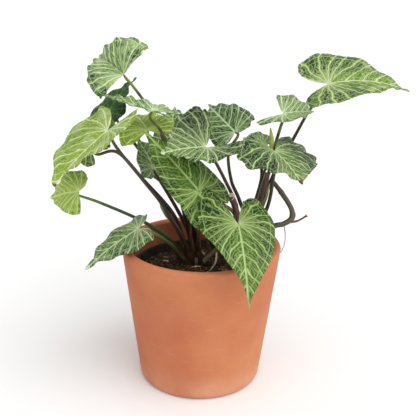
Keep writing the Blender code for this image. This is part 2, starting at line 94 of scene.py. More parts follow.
# Petioles of each shoot: the blade that each carries, and the points that its curve passes
PETIOLE_BASE_RADIUS = 2.0
PETIOLE_TIP_RADIUS = 0.95
APPROACH = 7.0
PETIOLES = {
    "shoot_left": {
        "leaf_left_large": [(-13, 6, 118), (-22, -6, 142), (-35, -10, 166), (-52, -10, 188),
                            (-75, -8, 218), (-76, -10, 236)],
        "leaf_left_under": [(-16, 12, 122), (-25, -4, 154), (-49, -10, 185), (-71, -9, 209),
                            (-88, -5, 206)],
        "leaf_rim_left": [(-19, 4, 112), (-27, -10, 128), (-42, -18, 141)],
        "leaf_far_left": [(-20, 12, 114), (-33, 7, 130), (-55, 7, 144), (-89, 2, 161)],
    },
    "shoot_back": {
        "leaf_top_left": [(-10, 36, 120), (-19, 36, 156), (-34, 37, 205), (-43, 42, 228),
                          (-50, 40, 240), (-61, 29, 258)],
        "leaf_left_back": [(-12, 36, 122), (-30, 34, 158), (-54, 30, 198), (-71, 26, 222)],
        "leaf_left_inner": [(-11, 26, 122), (-18, 12, 158), (-26, 3, 190), (-40, 3, 212)],
        "leaf_edge_on": [(-6, 29, 124), (-13, 10, 154), (-18, -2, 180), (-23, -12, 204),
                         (-34, -11, 227)],
        "leaf_back_dark": [(-8, 44, 130), (-20, 48, 172)],
        "leaf_centre_under": [(-10, 34, 130), (-22, 18, 164)],
    },
    "shoot_right": {
        "leaf_centre_front": [(36, 8, 130), (29, -2, 163), (20, -6, 184), (8, -16, 208)],
        "leaf_centre_back": [(40, 10, 140), (32, 4, 166), (25, 6, 182), (22, 8, 206)],
        "leaf_centre_low": [(33, 4, 128), (28, -8, 156), (13, -24, 172)],
        "leaf_front_large": [(38, 0, 122), (33, -32, 149)],
        "leaf_right_large": [(48, 10, 130), (58, 6, 160), (61, 2, 186), (62, -3, 202)],
        "leaf_right_back": [(43, 16, 140), (52, 16, 182)],
        "leaf_right_small": [(46, 16, 140), (58, 18, 184), (62, 17, 208), (66, 9, 230)],
        "leaf_top_right": [(50, 18, 140), (64, 29, 182), (81, 35, 214), (92, 18, 244)],
    },
}
# Section of a petiole: what each form adds to the radius or takes from it, then the share of the
# length at which it ends or lies, and the angles in radians at which wings and groove lie
FOOT, FOOT_END = 0.55, 0.16
WING, WING_END, WING_ANGLE, WING_SPREAD = 0.28, 0.42, 0.45, 0.22
GROOVE, GROOVE_SPREAD = 0.2, 0.3
KNEE, KNEE_AT, KNEE_LENGTH = 0.18, 0.965, 0.02
# These two come up to the blade from behind, through the notch between its lobes
FROM_BEHIND = ("leaf_left_large", "leaf_centre_low")

# Stems of the right shoot: points of each, with the radius there
CUT_STEM = [(33, 6, 104, 3.2), (31.5, -4, 130, 3.0), (29, -10, 160, 2.7), (24.5, -12.5, 173, 3.0)]
MAIN_STEM = [(42, 12, 104, 4.2), (48, 4, 146, 4.0), (53, 3, 174, 3.4), (56, 3, 190, 2.0)]
LOOP_STEM = [(46, 8, 112, 2.6), (60, 0, 140, 2.4), (72, 0, 145, 2.3), (79, 2, 150, 2.6),
             (78, 5, 158, 2.2), (70, 9, 170, 2.2), (62, 10, 180, 1.8)]
DRY_STUB = [(77, 2, 146, 1.3), (84, 2, 147, 0.9), (91, 3, 151, 0.9), (92, 3, 151.8, 1.6)]
CREEPING_STEM = [(43, 10, 116, 2.8), (22, 12, 118, 2.8), (9, 11, 110, 2.7), (2, 8, 104, 2.2)]
NEW_LEAF = [(52, 16, 180, 1.2), (56, 9, 198, 1.2), (58, 4, 211, 1.6), (58, 2, 219, 2.2),
            (56.5, 1, 230, 0.5)]
BUD = [(49, 3, 150, 1.0), (43, -6, 161, 1.3), (39, -10, 166, 1.5), (35, -12, 168.5, 0.8)]

# Bare roots: pale ones that dip in and out of the soil, and a thin one off the looping stem
ROOTS = [
    [(-4, 40, 99, 0.5), (-3, 37, 103, 0.8), (2, 30, 103.5, 0.8), (6, 24, 102, 0.7),
     (8, 20, 98, 0.5)],
    [(-9, 4, 98, 0.5), (-9, 2, 101, 0.6), (-5, 0, 103, 0.6), (-1, 3, 101.5, 0.6), (-2, 6, 98, 0.5)],
    [(14, 10, 113, 0.9), (13, 2, 107, 0.8), (9, -1, 101, 0.6), (5, -2, 98, 0.4)],
    [(-36, 18, 98, 0.4), (-35, 16, 101, 0.5), (-31, 15, 101.5, 0.5), (-29, 18, 98, 0.4)],
]
HAIR_ROOT = [(72, 0, 144, 0.45), (73, -4, 138, 0.4), (73, -6, 130, 0.35), (71, -5, 122, 0.3),
             (66, -2, 113, 0.3), (62, 0, 104, 0.25)]

# Dried sheaths that still stand round the crowns: width, then foot and tip
SHEATHS = [
    (6.0, (-14, 9, 99), (-19, 5, 139)),
    (5.5, (-7, 8, 99), (-10, 4, 144)),
    (6.0, (0, 10, 99), (-3, 6, 137)),
    (4.5, (5, 14, 99), (6, 10, 130)),
    (4.0, (-18, 14, 99), (-27, 10, 126)),
    (5.0, (31, 5, 99), (27, -1, 132)),
    (5.0, (47, 4, 99), (52, -3, 136)),
]
# Sheath wings that part from their petioles, green still, with the way their width lies
WINGS = [
    (4.4, (-24.5, -8, 148), (-36.5, -11, 168), (0.8, 0.1, 0.55)),
    (2.8, (52, 0, 158), (58, -1, 182), (1.0, 0.3, 0.0)),
]
SHEATH_THICKNESS = 0.16
# Cut across the standing stem: the way it faces, and its profile as the share of the stem's
# radius and the height over the cut
CUT_FACING = (-0.55, -0.6, 0.58)
CUT_PROFILE = [(0.95, -0.9), (1.2, -0.2), (1.15, 0.3), (0.85, 0.4), (0.5, 0.2), (0.1, 0.28)]

# Blade: half outlines of an arrowhead leaf. x is in half widths, y in lengths of the midrib.
MARGIN = [(0.55, -0.50), (0.80, -0.44), (0.96, -0.25), (1.00, 0.00), (0.97, 0.22), (0.85, 0.42),
          (0.62, 0.60), (0.36, 0.75), (0.13, 0.88), (0.00, 1.00)]
SINUS = [(0.55, -0.50), (0.36, -0.43), (0.18, -0.26), (0.06, -0.09), (0.00, 0.00)]
SINUS_SHARE = 0.30
OUTLINE_STEPS = 200
MIDRIB_STEPS = 40
RUFFLE_POWER = 2.5
SIDE_PHASE = 0.35

# Shape of a blade where its entry in LEAVES says nothing else
PLAIN_BLADE = dict(
    roll=0, fold=15, arch_left=35, arch_right=35, droop=20, bow=0, wide_left=1.0,
    wide_right=1.0, taper_left=0.0, taper_right=0.0, lobe_left=1.0, lobe_right=1.0, lift_left=0,
    lift_right=0, splay_left=0.0, splay_right=0.0, ruffle=1.2, waves=4, slope=0.85, marks=(),
)

# Each blade: where its petiole meets it, midrib length, width, then the midrib's heading in plan
# (0 is +X, 90 is +Y), its pitch above level, the roll about it, and the shape of the blade. Then
# its finish, the slope of its laterals, and its marks: painted shade where a part of the blade
# lies in shade, and scorch, the brown of age. For each mark, what it does, its centre and size
# in half widths from the midrib and lengths towards the drip tip, and how strong it is.
LEAVES = {
    "leaf_top_left": dict(
        at=(-68, 20, 269), length=46, width=70, heading=140, pitch=26, roll=50, fold=50,
        arch_left=100, arch_right=85, droop=40, wide_left=0.9, lobe_left=0.15, lobe_right=0.15,
        ruffle=1.4, waves=6, finish="silver"),
    "leaf_left_back": dict(
        at=(-83, 30, 237), length=42, width=46, heading=50, pitch=46, roll=10, taper_left=0.7,
        taper_right=0.7, finish="deep"),
    "leaf_left_large": dict(
        at=(-77, -25, 231), length=62, width=72, heading=190, pitch=-38, roll=15, bow=-25,
        arch_left=35, arch_right=20, droop=5, wide_left=0.65, taper_left=0.4, taper_right=-0.35,
        lobe_right=0.35, splay_left=-0.2, ruffle=1.5, finish="silver_lime",
        marks=[("scorch", (0.0, 1.0), (0.25, 0.05), 0.5)]),
    "leaf_left_inner": dict(
        at=(-47, 6, 225), length=42, width=50, heading=110, pitch=15, roll=10, fold=20,
        splay_left=0.3, splay_right=0.15, finish="sunlit_lime"),
    "leaf_edge_on": dict(
        at=(-43, 2, 243), length=46, width=38, heading=160, pitch=12, roll=0, arch_left=0,
        arch_right=25, droop=0, ruffle=1.4, waves=6, finish="silver"),
    "leaf_back_dark": dict(
        at=(-30.5, 50, 207), length=34, width=32, heading=80, pitch=60, finish="dark_net"),
    "leaf_left_under": dict(
        at=(-98, 10, 209), length=38, width=32, heading=130, pitch=15, roll=40, lift_left=-20,
        finish="mid_net"),
    "leaf_centre_under": dict(
        at=(-43, 8, 192), length=38, width=34, heading=122, pitch=45, roll=-20, taper_left=0.5,
        lobe_left=0.7, finish="dark_net"),
    "leaf_centre_front": dict(
        at=(2, -33, 221), length=36, width=72, heading=195, pitch=2, roll=24, fold=20,
        arch_left=25, arch_right=-10, wide_left=0.7, lobe_left=1.7, lobe_right=0.4,
        splay_left=-0.1, lift_left=25, ruffle=1.8, waves=5, finish="mid_net",
        marks=[("shade", (0.75, 0.1), (0.75, 0.6), 0.8),
               ("shade", (-0.6, -0.5), (0.6, 0.5), 0.45)]),
    "leaf_centre_back": dict(
        at=(27, 6, 225), length=48, width=42, heading=127, pitch=25, roll=45, lobe_left=0.2,
        lobe_right=0.3, splay_right=-0.5, lift_right=90, ruffle=1.6, waves=5, finish="dark_net"),
    "leaf_right_back": dict(
        at=(50, 8, 213.5), length=17, width=27, heading=185, pitch=25, roll=40, ruffle=0.8,
        finish="dark_net"),
    "leaf_right_large": dict(
        at=(59.8, -12, 213), length=38, width=92, heading=-45, pitch=-25, roll=10, arch_left=30,
        arch_right=50, wide_left=1.2, lobe_left=0.9, splay_left=0.2, splay_right=-0.6, ruffle=1.8,
        waves=5, finish="mid_net",
        marks=[("scorch", (0.0, 1.0), (0.35, 0.14), 0.9),
               ("shade", (0.5, 0.7), (0.6, 0.5), 0.45)]),
    "leaf_right_small": dict(
        at=(67, 2, 242), length=27, width=40, heading=8, pitch=10, roll=-30, fold=28, arch_right=5,
        lobe_left=0.2, lobe_right=1.9, lift_left=60, ruffle=1.2, finish="silver",
        marks=[("scorch", (-0.42, -0.2), (0.09, 0.1), 1.0)]),
    "leaf_top_right": dict(
        at=(103, 0, 268), length=72, width=72, heading=2, pitch=12, roll=-20, arch_left=0,
        arch_right=20, droop=38, wide_right=0.95, taper_left=0.3, taper_right=0.2, lobe_left=0.6,
        lobe_right=0.65, lift_right=-20, splay_right=0.2, finish="cream_net", slope=1.0,
        marks=[("shade", (0.0, 1.0), (0.4, 0.12), 0.5)]),
    "leaf_centre_low": dict(
        at=(-3, -34, 185), length=68, width=40, heading=165, pitch=46, roll=60, arch_left=35,
        arch_right=45, taper_right=0.3, lobe_left=0.8, lobe_right=0.7, splay_left=0.25,
        finish="low_net",
        marks=[("shade", (0.8, 0.3), (0.6, 0.9), 0.7)]),
    "leaf_front_large": dict(
        at=(29, -60, 165.4), length=71, width=61, heading=-80, pitch=-30, droop=40, fold=10,
        arch_right=45, taper_left=0.25, taper_right=1.0, lobe_left=0.75, lift_right=25,
        splay_left=-0.1, splay_right=0.15, finish="strong_net", slope=1.25,
        marks=[("shade", (0.0, 0.97), (0.35, 0.12), 0.6)]),
    "leaf_rim_left": dict(
        at=(-54, -20, 145), length=56, width=42, heading=203, pitch=-24, roll=5, arch_left=60,
        lobe_left=0.3, lobe_right=0.5, finish="grey_net",
        marks=[("shade", (-0.8, 0.5), (0.5, 0.6), 0.5)]),
    "leaf_far_left": dict(
        at=(-107, 0, 171), length=28, width=42, heading=190, pitch=0, roll=50, droop=60,
        lobe_left=0.1, lobe_right=0.6, splay_left=-0.3, ruffle=1.4, finish="lime"),
}

# Veins, in the flat blade: laterals leave the midrib at even spaces and arch forward, and below
# the first of them the basal veins fan out from the petiole into the lobe.
LATERALS = 5.5
LATERAL_ARCH = 0.009
BASAL_FAN = 21.0
COLLECTING_VEIN = 4.2
BLADE_MESH = 0.62
BLADE_COLUMNS = (20, 48)
BLADE_ROWS = (44, 120)
BLADE_THICKNESS = 0.6

# Relief of a blade: depth and half width of its veins, height of the quilting between them and
# of the rungs that cross it, and the knot where the petiole meets the blade
VEIN_SINK = 0.34
VEIN_WIDTH = 0.8
MIDRIB_SINK = 0.45
MIDRIB_WIDTH = 1.1
QUILT = 0.42
RUNG = 0.14
RUNG_SPACE = 5.0
RELIEF_REACH = 6.0
KNOT = 0.5
KNOT_REACH = 2.2
KNOT_GAP = 3.0
FLUTTER = 0.45
FLUTTER_SIZE = 4.5
FLUTTER_REACH = 2.5
NOTCH = 0.03

# Foliage finishes. Colours of the net of veins, of the flush along them, of the silvery zone, of
# the green by the midrib and outward, of the margin and of the underside; then how much silver
# there is (0 to 1) and how strongly the fine net shows.
FOLIAGE = {
    "cream_net": ("#C6D2A2", "#89AC60", "#A2BA85", "#6B9745", "#2C5420", "#5C8A3C", "#9DB587",
                  0.12, 0.52),
    "strong_net": ("#A9BD7C", "#5F853F", "#76925C", "#48712A", "#1F4218", "#46702C", "#8FA878",
                   0.08, 0.5),
    "lime": ("#C6D792", "#9ABD50", "#A6C274", "#88B236", "#5C8E2C", "#7CAA3A", "#9CBE54",
             0.3, 0.45),
    # sunlit_lime: a lighter copy of lime for a leaf that lies in shade, as painted light
    "sunlit_lime": ("#DCEA9C", "#B2D548", "#BAD47A", "#A0CE20", "#72A81C", "#8EC22E", "#B6DA3E",
                    0.2, 0.42),
    "silver_lime": ("#D2DFB0", "#A6C36E", "#AFC690", "#8AB336", "#709E24", "#83AE28", "#A3BA70",
                    0.48, 0.38),
    "silver": ("#D2E0BA", "#8FB16C", "#A0BA88", "#55823A", "#285220", "#507F36", "#A4BA8A",
               0.32, 0.45),
    "mid_net": ("#CAD8A6", "#638F44", "#86A66A", "#376A20", "#153814", "#336424", "#8DA97A",
                0.12, 0.42),
    "low_net": ("#A6BE74", "#558824", "#6C9646", "#407612", "#14380C", "#2F5C1C", "#8DA97A",
                0.1, 0.42),
    "dark_net": ("#B4C898", "#48713E", "#6C8C60", "#234C22", "#0E2815", "#244A26", "#6F9062",
                 0.1, 0.42),
    "grey_net": ("#C8D4AE", "#76985E", "#8AA476", "#467236", "#22461F", "#3E6629", "#93A985",
                 0.25, 0.45),
    # deep: a darker, dimmer copy of the leaf greens for a leaf in shade at the back, as painted
    # shade
    "deep": ("#4F7D40", "#37682C", "#3D6E31", "#2B5C23", "#1D4517", "#264F1E", "#33602A",
             0.1, 0.2),
}
# Brown of scorched leaf tissue
SCORCH_COLOUR = "#6B4A2C"

# Rinds: colours from the foot of a stem to its tip, the colour of its streaks and their strength
RINDS = {
    "petiole_rind": ([(0.0, "#4A3527"), (0.18, "#3B2A20"), (0.5, "#2C231B"), (0.8, "#44421F"),
                      (0.97, "#788A3C")], "#7A5F45", 0.5),
    "olive_rind": ([(0.0, "#4A3A24"), (0.3, "#4C4A26"), (0.7, "#56602E"), (0.97, "#7C9140")],
                   "#8A8A52", 0.5),
    "tan_rind": ([(0.0, "#4A3527"), (0.4, "#3A2C1E"), (0.7, "#6E6238"), (0.97, "#8D9A4C")],
                 "#A08A5A", 0.6),
    "green_rind": ([(0.0, "#4A3A24"), (0.3, "#2F4A22"), (0.7, "#2A4A20"), (0.97, "#6F9038")],
                   "#5A7A3A", 0.4),
    "old_rind": ([(0.0, "#46311F"), (0.5, "#4A3128"), (1.0, "#55392A")], "#9A7455", 0.65),
    "loop_rind": ([(0.0, "#40372A"), (0.5, "#4C4A3A"), (1.0, "#57492F")], "#7F7A60", 0.5),
    "creeping_rind": ([(0.0, "#4A4030"), (0.5, "#5C5238"), (1.0, "#66593C")], "#8F7F5A", 0.5),
    "dry_sheath": ([(0.0, "#33241A"), (0.5, "#4A3424"), (1.0, "#5E4630")], "#A5835A", 0.75),
    "sheath_wing": ([(0.0, "#3E3022"), (0.45, "#5E6630"), (1.0, "#93A048")], "#7C8844", 0.5),
}
PETIOLE_RINDS = {
    "leaf_rim_left": "olive_rind", "leaf_far_left": "green_rind", "leaf_centre_low": "tan_rind",
    "leaf_front_large": "olive_rind",
}
STEM_RINDS = [(CUT_STEM, "old_rind"), (MAIN_STEM, "old_rind"), (LOOP_STEM, "loop_rind"),
              (CREEPING_STEM, "creeping_rind")]

# Camera of the photograph: place in millimetres, turn from +Y towards +X, tilt below level, and
# the small turn of the picture. The lens is for Blender's 36 mm sensor over the 416 pixel side.
CAMERA_AT = (0.0, -602.9, 363.0)
CAMERA_YAW = 0.5
CAMERA_TILT = 18.75
CAMERA_ROLL = 1.1
CAMERA_LENS = 63.35

# Studio light: a broad lamp, with its strength, its spread and where it shines from, and the
# light from all round
LAMP_STRENGTH = 1.95
LAMP_SPREAD = 75.0
LAMP_FROM = (0.55, -0.62, 1.0)
AIR_LIGHT = 0.72
FLOOR_RADIUS = 14.0


# ---------------------------------------------------------------- shapes shared with the solids

def spline(points, count):
    """Smooth curve through the points, read at count places an even distance apart."""
    ends = [2 * points[0] - points[1], *points, 2 * points[-1] - points[-2]]
    fine = []
    for a, b, c, d in zip(ends, ends[1:], ends[2:], ends[3:]):
        for t in np.arange(12) / 12:
            fine.append(0.5 * (2 * b + (c - a) * t + (2 * a - 5 * b + 4 * c - d) * t**2
                               + (3 * b - a - 3 * c + d) * t**3))
    fine = np.array([*fine, points[-1]])
    run = np.concatenate([[0], np.cumsum(np.linalg.norm(np.diff(fine[:, :3], axis=0), axis=1))])
    even = np.linspace(0, run[-1], count)
    return np.stack([np.interp(even, run, axis) for axis in fine.T], axis=-1)


def flat_half(along, across):
    """Half of a flat blade at shares along the outline (0 lobe tip, 1 drip tip) and across it."""
    outer = spline(np.array(MARGIN), OUTLINE_STEPS + 1)
    sinus_count = round(OUTLINE_STEPS * SINUS_SHARE)
    sinus = spline(np.array(SINUS), sinus_count + 1)
    midrib = np.linspace(0, 1, OUTLINE_STEPS - sinus_count + 1)[1:]
    inner = np.vstack([sinus, np.stack([0 * midrib, midrib], axis=-1)])
    share = np.linspace(0, 1, OUTLINE_STEPS + 1)
    edge = [np.interp(along, share, curve[:, k]) for curve in (inner, outer) for k in (0, 1)]
    x = edge[0] + (edge[2] - edge[0]) * across
    y = edge[1] + (edge[3] - edge[1]) * across
    return x, y


def flat_blade(leaf, side, along, across):
    """The same in millimetres, with the widths, lobes and splay of one side of one leaf."""
    hand = "right" if side > 0 else "left"
    x, y = flat_half(along, across)
    x = x * leaf["wide_" + hand] * (1 - np.clip(y, 0, 0.999)) ** leaf["taper_" + hand]
    y = np.where(y < 0, y * leaf["lobe_" + hand], y) * leaf["length"]
    x = x * leaf["width"] / 2 + np.maximum(-y, 0) * leaf["splay_" + hand]
    return x, y


def midrib_frames(leaf):
    """Points and axes along the midrib, in the blade's own frame: x across, y along, z up."""
    u = np.linspace(0, 1, MIDRIB_STEPS + 1)
    yaw = math.radians(leaf["bow"]) * u
    pitch = -math.radians(leaf["droop"]) * u
    along = np.stack([np.sin(yaw) * np.cos(pitch), np.cos(yaw) * np.cos(pitch), np.sin(pitch)], -1)
    steps = (along[1:] + along[:-1]) / 2 * leaf["length"] / MIDRIB_STEPS
    points = np.vstack([[0, 0, 0], np.cumsum(steps, axis=0)])
    across = np.stack([np.cos(yaw), -np.sin(yaw), 0 * yaw], -1)
    return u, points, across, np.cross(across, along)


def blade_axes(leaf):
    """Rows are the blade's right, forward and up directions where the petiole meets it."""
    heading, pitch, roll = (math.radians(leaf.get(k, 0)) for k in ("heading", "pitch", "roll"))
    forward = np.array([math.cos(heading) * math.cos(pitch), math.sin(heading) * math.cos(pitch),
                        math.sin(pitch)])
    level = np.array([math.sin(heading), -math.cos(heading), 0.0])
    up = np.cross(level, forward)
    right = level * math.cos(roll) + up * math.sin(roll)
    return np.array([right, forward, np.cross(right, forward)])


def blade_points(leaf, side, along, across):
    """Blade points in the part's frame, for one side: -1 is left of the midrib, 1 is right."""
    hand = "right" if side > 0 else "left"
    length, half_width = leaf["length"], leaf["width"] / 2
    x, y = flat_blade(leaf, side, along, across)

    fold = math.radians(leaf["fold"])
    bend = math.radians(leaf["arch_" + hand]) / half_width + 1e-6
    out = (math.sin(fold) - np.sin(fold - bend * x)) / bend * side
    rise = (np.cos(fold - bend * x) - math.cos(fold)) / bend
    wave = np.sin(math.tau * (leaf["waves"] * along + SIDE_PHASE * (side > 0)))
    rise = rise + leaf["ruffle"] * across**RUFFLE_POWER * wave

    u, points, right, up = midrib_frames(leaf)
    share = np.clip(y / length, 0, 1)
    mid, right, up = (
        np.stack([np.interp(share, u, curve[:, k]) for k in range(3)], -1)
        for curve in (points, right, up)
    )
    front = mid + right * out[..., None] + up * rise[..., None]
    back = np.maximum(-y, 0)
    curve = math.radians(leaf["lift_" + hand]) / (0.5 * length) + 1e-6
    turn = curve * back
    lobe = np.stack([out, rise * np.sin(turn) - np.sin(turn) / curve,
                     rise * np.cos(turn) + (1 - np.cos(turn)) / curve], -1)
    local = np.where((y >= 0)[..., None], front, lobe)
    return local @ blade_axes(leaf) + np.array(leaf["at"], dtype=float)


def petiole_stations(name, crown, via):
    """Stations from the crown through the petiole's points to its seat under the blade."""
    leaf = LEAVES[name]
    _, forward, up = blade_axes(leaf)
    away = -0.75 * forward - 0.66 * up if name in FROM_BEHIND else -up
    seat = np.array(leaf["at"]) - up * (BLADE_THICKNESS / 2)
    start = np.array([*crown["at"], SOIL_HEIGHT + 1.0])
    lean = np.array(via[0]) - start
    lean[2] = 0
    start = start + lean / max(np.linalg.norm(lean), 1e-6) * crown["radius"] * 0.4
    points = [start, *via, seat + away * APPROACH, seat]
    radii = np.linspace(PETIOLE_BASE_RADIUS, PETIOLE_TIP_RADIUS, len(points))
    return [(*point, radius) for point, radius in zip(points, radii)]


# ---------------------------------------------------------------- working on meshes

def deselect():
    """Nothing selected: loading the frame leaves the CAD nodes selected."""
    bpy.ops.object.select_all(action="DESELECT")


def pick(*pieces):
    """Only these pieces selected, the first one active."""
    deselect()
    for piece in pieces:
        piece.select_set(True)
    bpy.context.view_layer.objects.active = pieces[0]


def sheet(name, columns, rows):
    """Flat grid of that many faces, its points read back as shares 0 to 1 across and along."""
    deselect()
    bpy.ops.mesh.primitive_grid_add(x_subdivisions=columns, y_subdivisions=rows, size=2)
    piece = bpy.context.object
    piece.name = piece.data.name = name
    flat = read_points(piece)
    return piece, (flat[:, 0] + 1) / 2, (flat[:, 1] + 1) / 2


def read_points(piece, what="co"):
    """Points of a piece's mesh as rows, or their normals."""
    rows = np.empty(len(piece.data.vertices) * 3)
    piece.data.vertices.foreach_get(what, rows)
    return rows.reshape(-1, 3)


def write_points(piece, points):
    """Move a piece's points."""
    piece.data.vertices.foreach_set("co", np.ascontiguousarray(points, dtype=np.float32).ravel())
    piece.data.update()


def write_map(piece, across, along):
    """Lay a piece's UV map from one pair of numbers for each point."""
    corner = np.empty(len(piece.data.loops), dtype=int)
    piece.data.loops.foreach_get("vertex_index", corner)
    flat = np.stack([across[corner], along[corner]], -1).astype(np.float32)
    piece.data.uv_layers[0].uv.foreach_set("vector", flat.ravel())


def write_field(piece, name, values):
    """Keep one number or vector for each point, for the materials to read."""
    kind = "FLOAT" if values.ndim == 1 else "FLOAT_VECTOR"
    field = piece.data.attributes.new(name, kind, "POINT")
    field.data.foreach_set("value" if values.ndim == 1 else "vector",
                           values.astype(np.float32).ravel())


def read_field(piece, name, size):
    """Read such a field back after points were merged."""
    values = np.empty(len(piece.data.vertices) * size, dtype=np.float32)
    piece.data.attributes[name].data.foreach_get("value" if size == 1 else "vector", values)
    return values if size == 1 else values.reshape(-1, size)


def close_shell(piece, fill=True):
    """Merge doubled points, cap open ends and turn every face outwards."""
    pick(piece)
    bpy.ops.object.mode_set(mode="EDIT")
    bpy.ops.mesh.select_all(action="SELECT")
    bpy.ops.mesh.remove_doubles(threshold=MERGE)
    if fill:
        bpy.ops.mesh.fill_holes(sides=0)
        bpy.ops.mesh.select_all(action="SELECT")
        bpy.ops.mesh.normals_make_consistent(inside=False)
    bpy.ops.object.mode_set(mode="OBJECT")


def smooth(piece, angle):
    """Smooth shading, with edges sharper than the angle kept."""
    pick(piece)
    bpy.ops.object.shade_smooth_by_angle(angle=math.radians(angle))


def joined(name, pieces):
    """One piece from several."""
    pick(*pieces)
    if len(pieces) > 1:
        bpy.ops.object.join()
    piece = bpy.context.object
    piece.name = piece.data.name = name
    return piece


def dress(piece, *materials):
    """Put a piece in its materials, in the order of its slots."""
    piece.data.materials.clear()
    for material in materials:
        piece.data.materials.append(material)


def turned(name, profile, sides):
    """Solid turned from (radius, height) points: a round face extruded from ring to ring."""
    deselect()
    radius, height = profile[0]
    bpy.ops.mesh.primitive_circle_add(vertices=sides, radius=radius * MM, fill_type="NGON",
                                      location=(0, 0, height * MM))
    piece = bpy.context.object
    piece.name = piece.data.name = name
    bpy.ops.object.mode_set(mode="EDIT")
    for next_radius, next_height in profile[1:]:
        rise = (0, 0, (next_height - height) * MM)
        bpy.ops.mesh.extrude_region_move(TRANSFORM_OT_translate={"value": rise})
        grow = next_radius / radius
        bpy.ops.transform.resize(value=(grow, grow, 1), center_override=(0, 0, next_height * MM))
        radius, height = next_radius, next_height
    bpy.ops.object.mode_set(mode="OBJECT")
    bpy.ops.object.transform_apply(location=True)
    close_shell(piece)
    return piece


def arc(x, z, radius, start, end):
    """Points of a quarter round in a profile, angles in degrees from +X towards +Z."""
    angles = np.radians(np.linspace(start, end, ROUND_STEPS + 1))
    return [(x + radius * math.cos(a), z + radius * math.sin(a)) for a in angles]


def tube(name, stations, sides, step, section=None, facing=(1.0, 0.3, 0.2)):
    """Stem laid round a curve through (x, y, z, radius) stations.

    section(share, angle) is a factor on the radius at a share of the length, and facing is the
    direction that angle 0 starts towards."""
    stations = np.array(stations, dtype=float)
    length = np.linalg.norm(np.diff(stations[:, :3], axis=0), axis=1).sum()
    count = max(6, round(length / step))
    line = spline(stations, count + 1)
    heading = np.gradient(line[:, :3], axis=0)
    heading /= np.linalg.norm(heading, axis=1)[:, None]
    turned_side = np.array(facing, dtype=float)
    turned_side -= heading[0] * (turned_side @ heading[0])
    side = []
    for direction in heading:
        turned_side = turned_side - direction * (turned_side @ direction)
        turned_side = turned_side / np.linalg.norm(turned_side)
        side.append(turned_side)
    side = np.array(side)
    other = np.cross(heading, side)

    piece, round_share, along = sheet(name, sides, count)
    row = np.rint(along * count).astype(int)
    angle = math.tau * round_share
    radius = line[row, 3]
    if section:
        radius = radius * section(along, angle)
    points = (line[row, :3] + side[row] * (np.cos(angle) * radius)[:, None]
              + other[row] * (np.sin(angle) * radius)[:, None])
    write_points(piece, points * MM)
    write_map(piece, round_share * 0.1, along * length / 100)
    write_field(piece, "growth", along)
    close_shell(piece)
    return piece


# ---------------------------------------------------------------- materials

SOFT = {"interpolation_type": "SMOOTHSTEP"}


def linear(colour):
    """Linear colour from an sRGB hex value."""
    parts = [int(colour[k:k + 2], 16) / 255 for k in (1, 3, 5)]
    return (*(c / 12.92 if c <= 0.04045 else ((c + 0.055) / 1.055) ** 2.4 for c in parts), 1.0)


def material(name, ior, specular=0.5):
    """Empty material with one Principled shader; returns the material and its tree."""
    made = bpy.data.materials.new(name)
    made.use_nodes = True
    shader = made.node_tree.nodes["Principled BSDF"]
    shader.inputs["IOR"].default_value = ior
    shader.inputs["Specular IOR Level"].default_value = specular
    return made, made.node_tree


def add(tree, kind, inputs=(), stops=(), output=0, **settings):
    """Add a node with its settings and what goes into it; returns one of its outputs, or all.

    Inputs are numbers, hex colours or outputs of other nodes, in the order of the sockets or by
    their names. The stops are those of a colour ramp."""
    made = tree.nodes.new("ShaderNode" + kind)
    for key, value in settings.items():
        setattr(made, key, value)
    for key, value in inputs.items() if isinstance(inputs, dict) else enumerate(inputs):
        if isinstance(value, bpy.types.NodeSocket):
            tree.links.new(value, made.inputs[key])
        else:
            made.inputs[key].default_value = linear(value) if isinstance(value, str) else value
    if stops:
        while len(made.color_ramp.elements) < len(stops):
            made.color_ramp.elements.new(0.5)
        for element, (place, colour) in zip(made.color_ramp.elements, stops):
            element.position = place
            element.color = linear(colour)
    return made.outputs if output is None else made.outputs[output]


def coats(tree, colour, *layers):
    """Lay coats over a colour: for each, the share that it covers and its own colour."""
    for share, coat in layers:
        colour = add(tree, "Mix", {0: share, 6: colour, 7: coat}, output=2, data_type="RGBA")
    return colour


def finish(tree, colour, rough, relief):
    """Connect the shader: its colour, the field its roughness follows with the lowest and the
    highest, and the field its relief follows with a strength and a depth in millimetres."""
    field, low, high = rough
    rough = add(tree, "MapRange", (field, 0.0, 1.0, low, high))
    height, strength, depth = relief
    bump = add(tree, "Bump", {"Height": height, "Strength": strength, "Distance": depth * MM})
    shader = tree.nodes["Principled BSDF"]
    for socket, value in (("Base Color", colour), ("Roughness", rough), ("Normal", bump)):
        tree.links.new(value, shader.inputs[socket])


def grained(name, ior, scale, detail, stops, rough, relief):
    """Material whose colour, roughness and relief all follow one grain."""
    made, tree = material(name, ior)
    place = add(tree, "TexCoord", output=3)
    grain = add(tree, "TexNoise", {"Vector": place, "Scale": scale, "Detail": detail})
    finish(tree, add(tree, "ValToRGB", (grain,), stops), (grain, *rough), (grain, *relief))
    return made


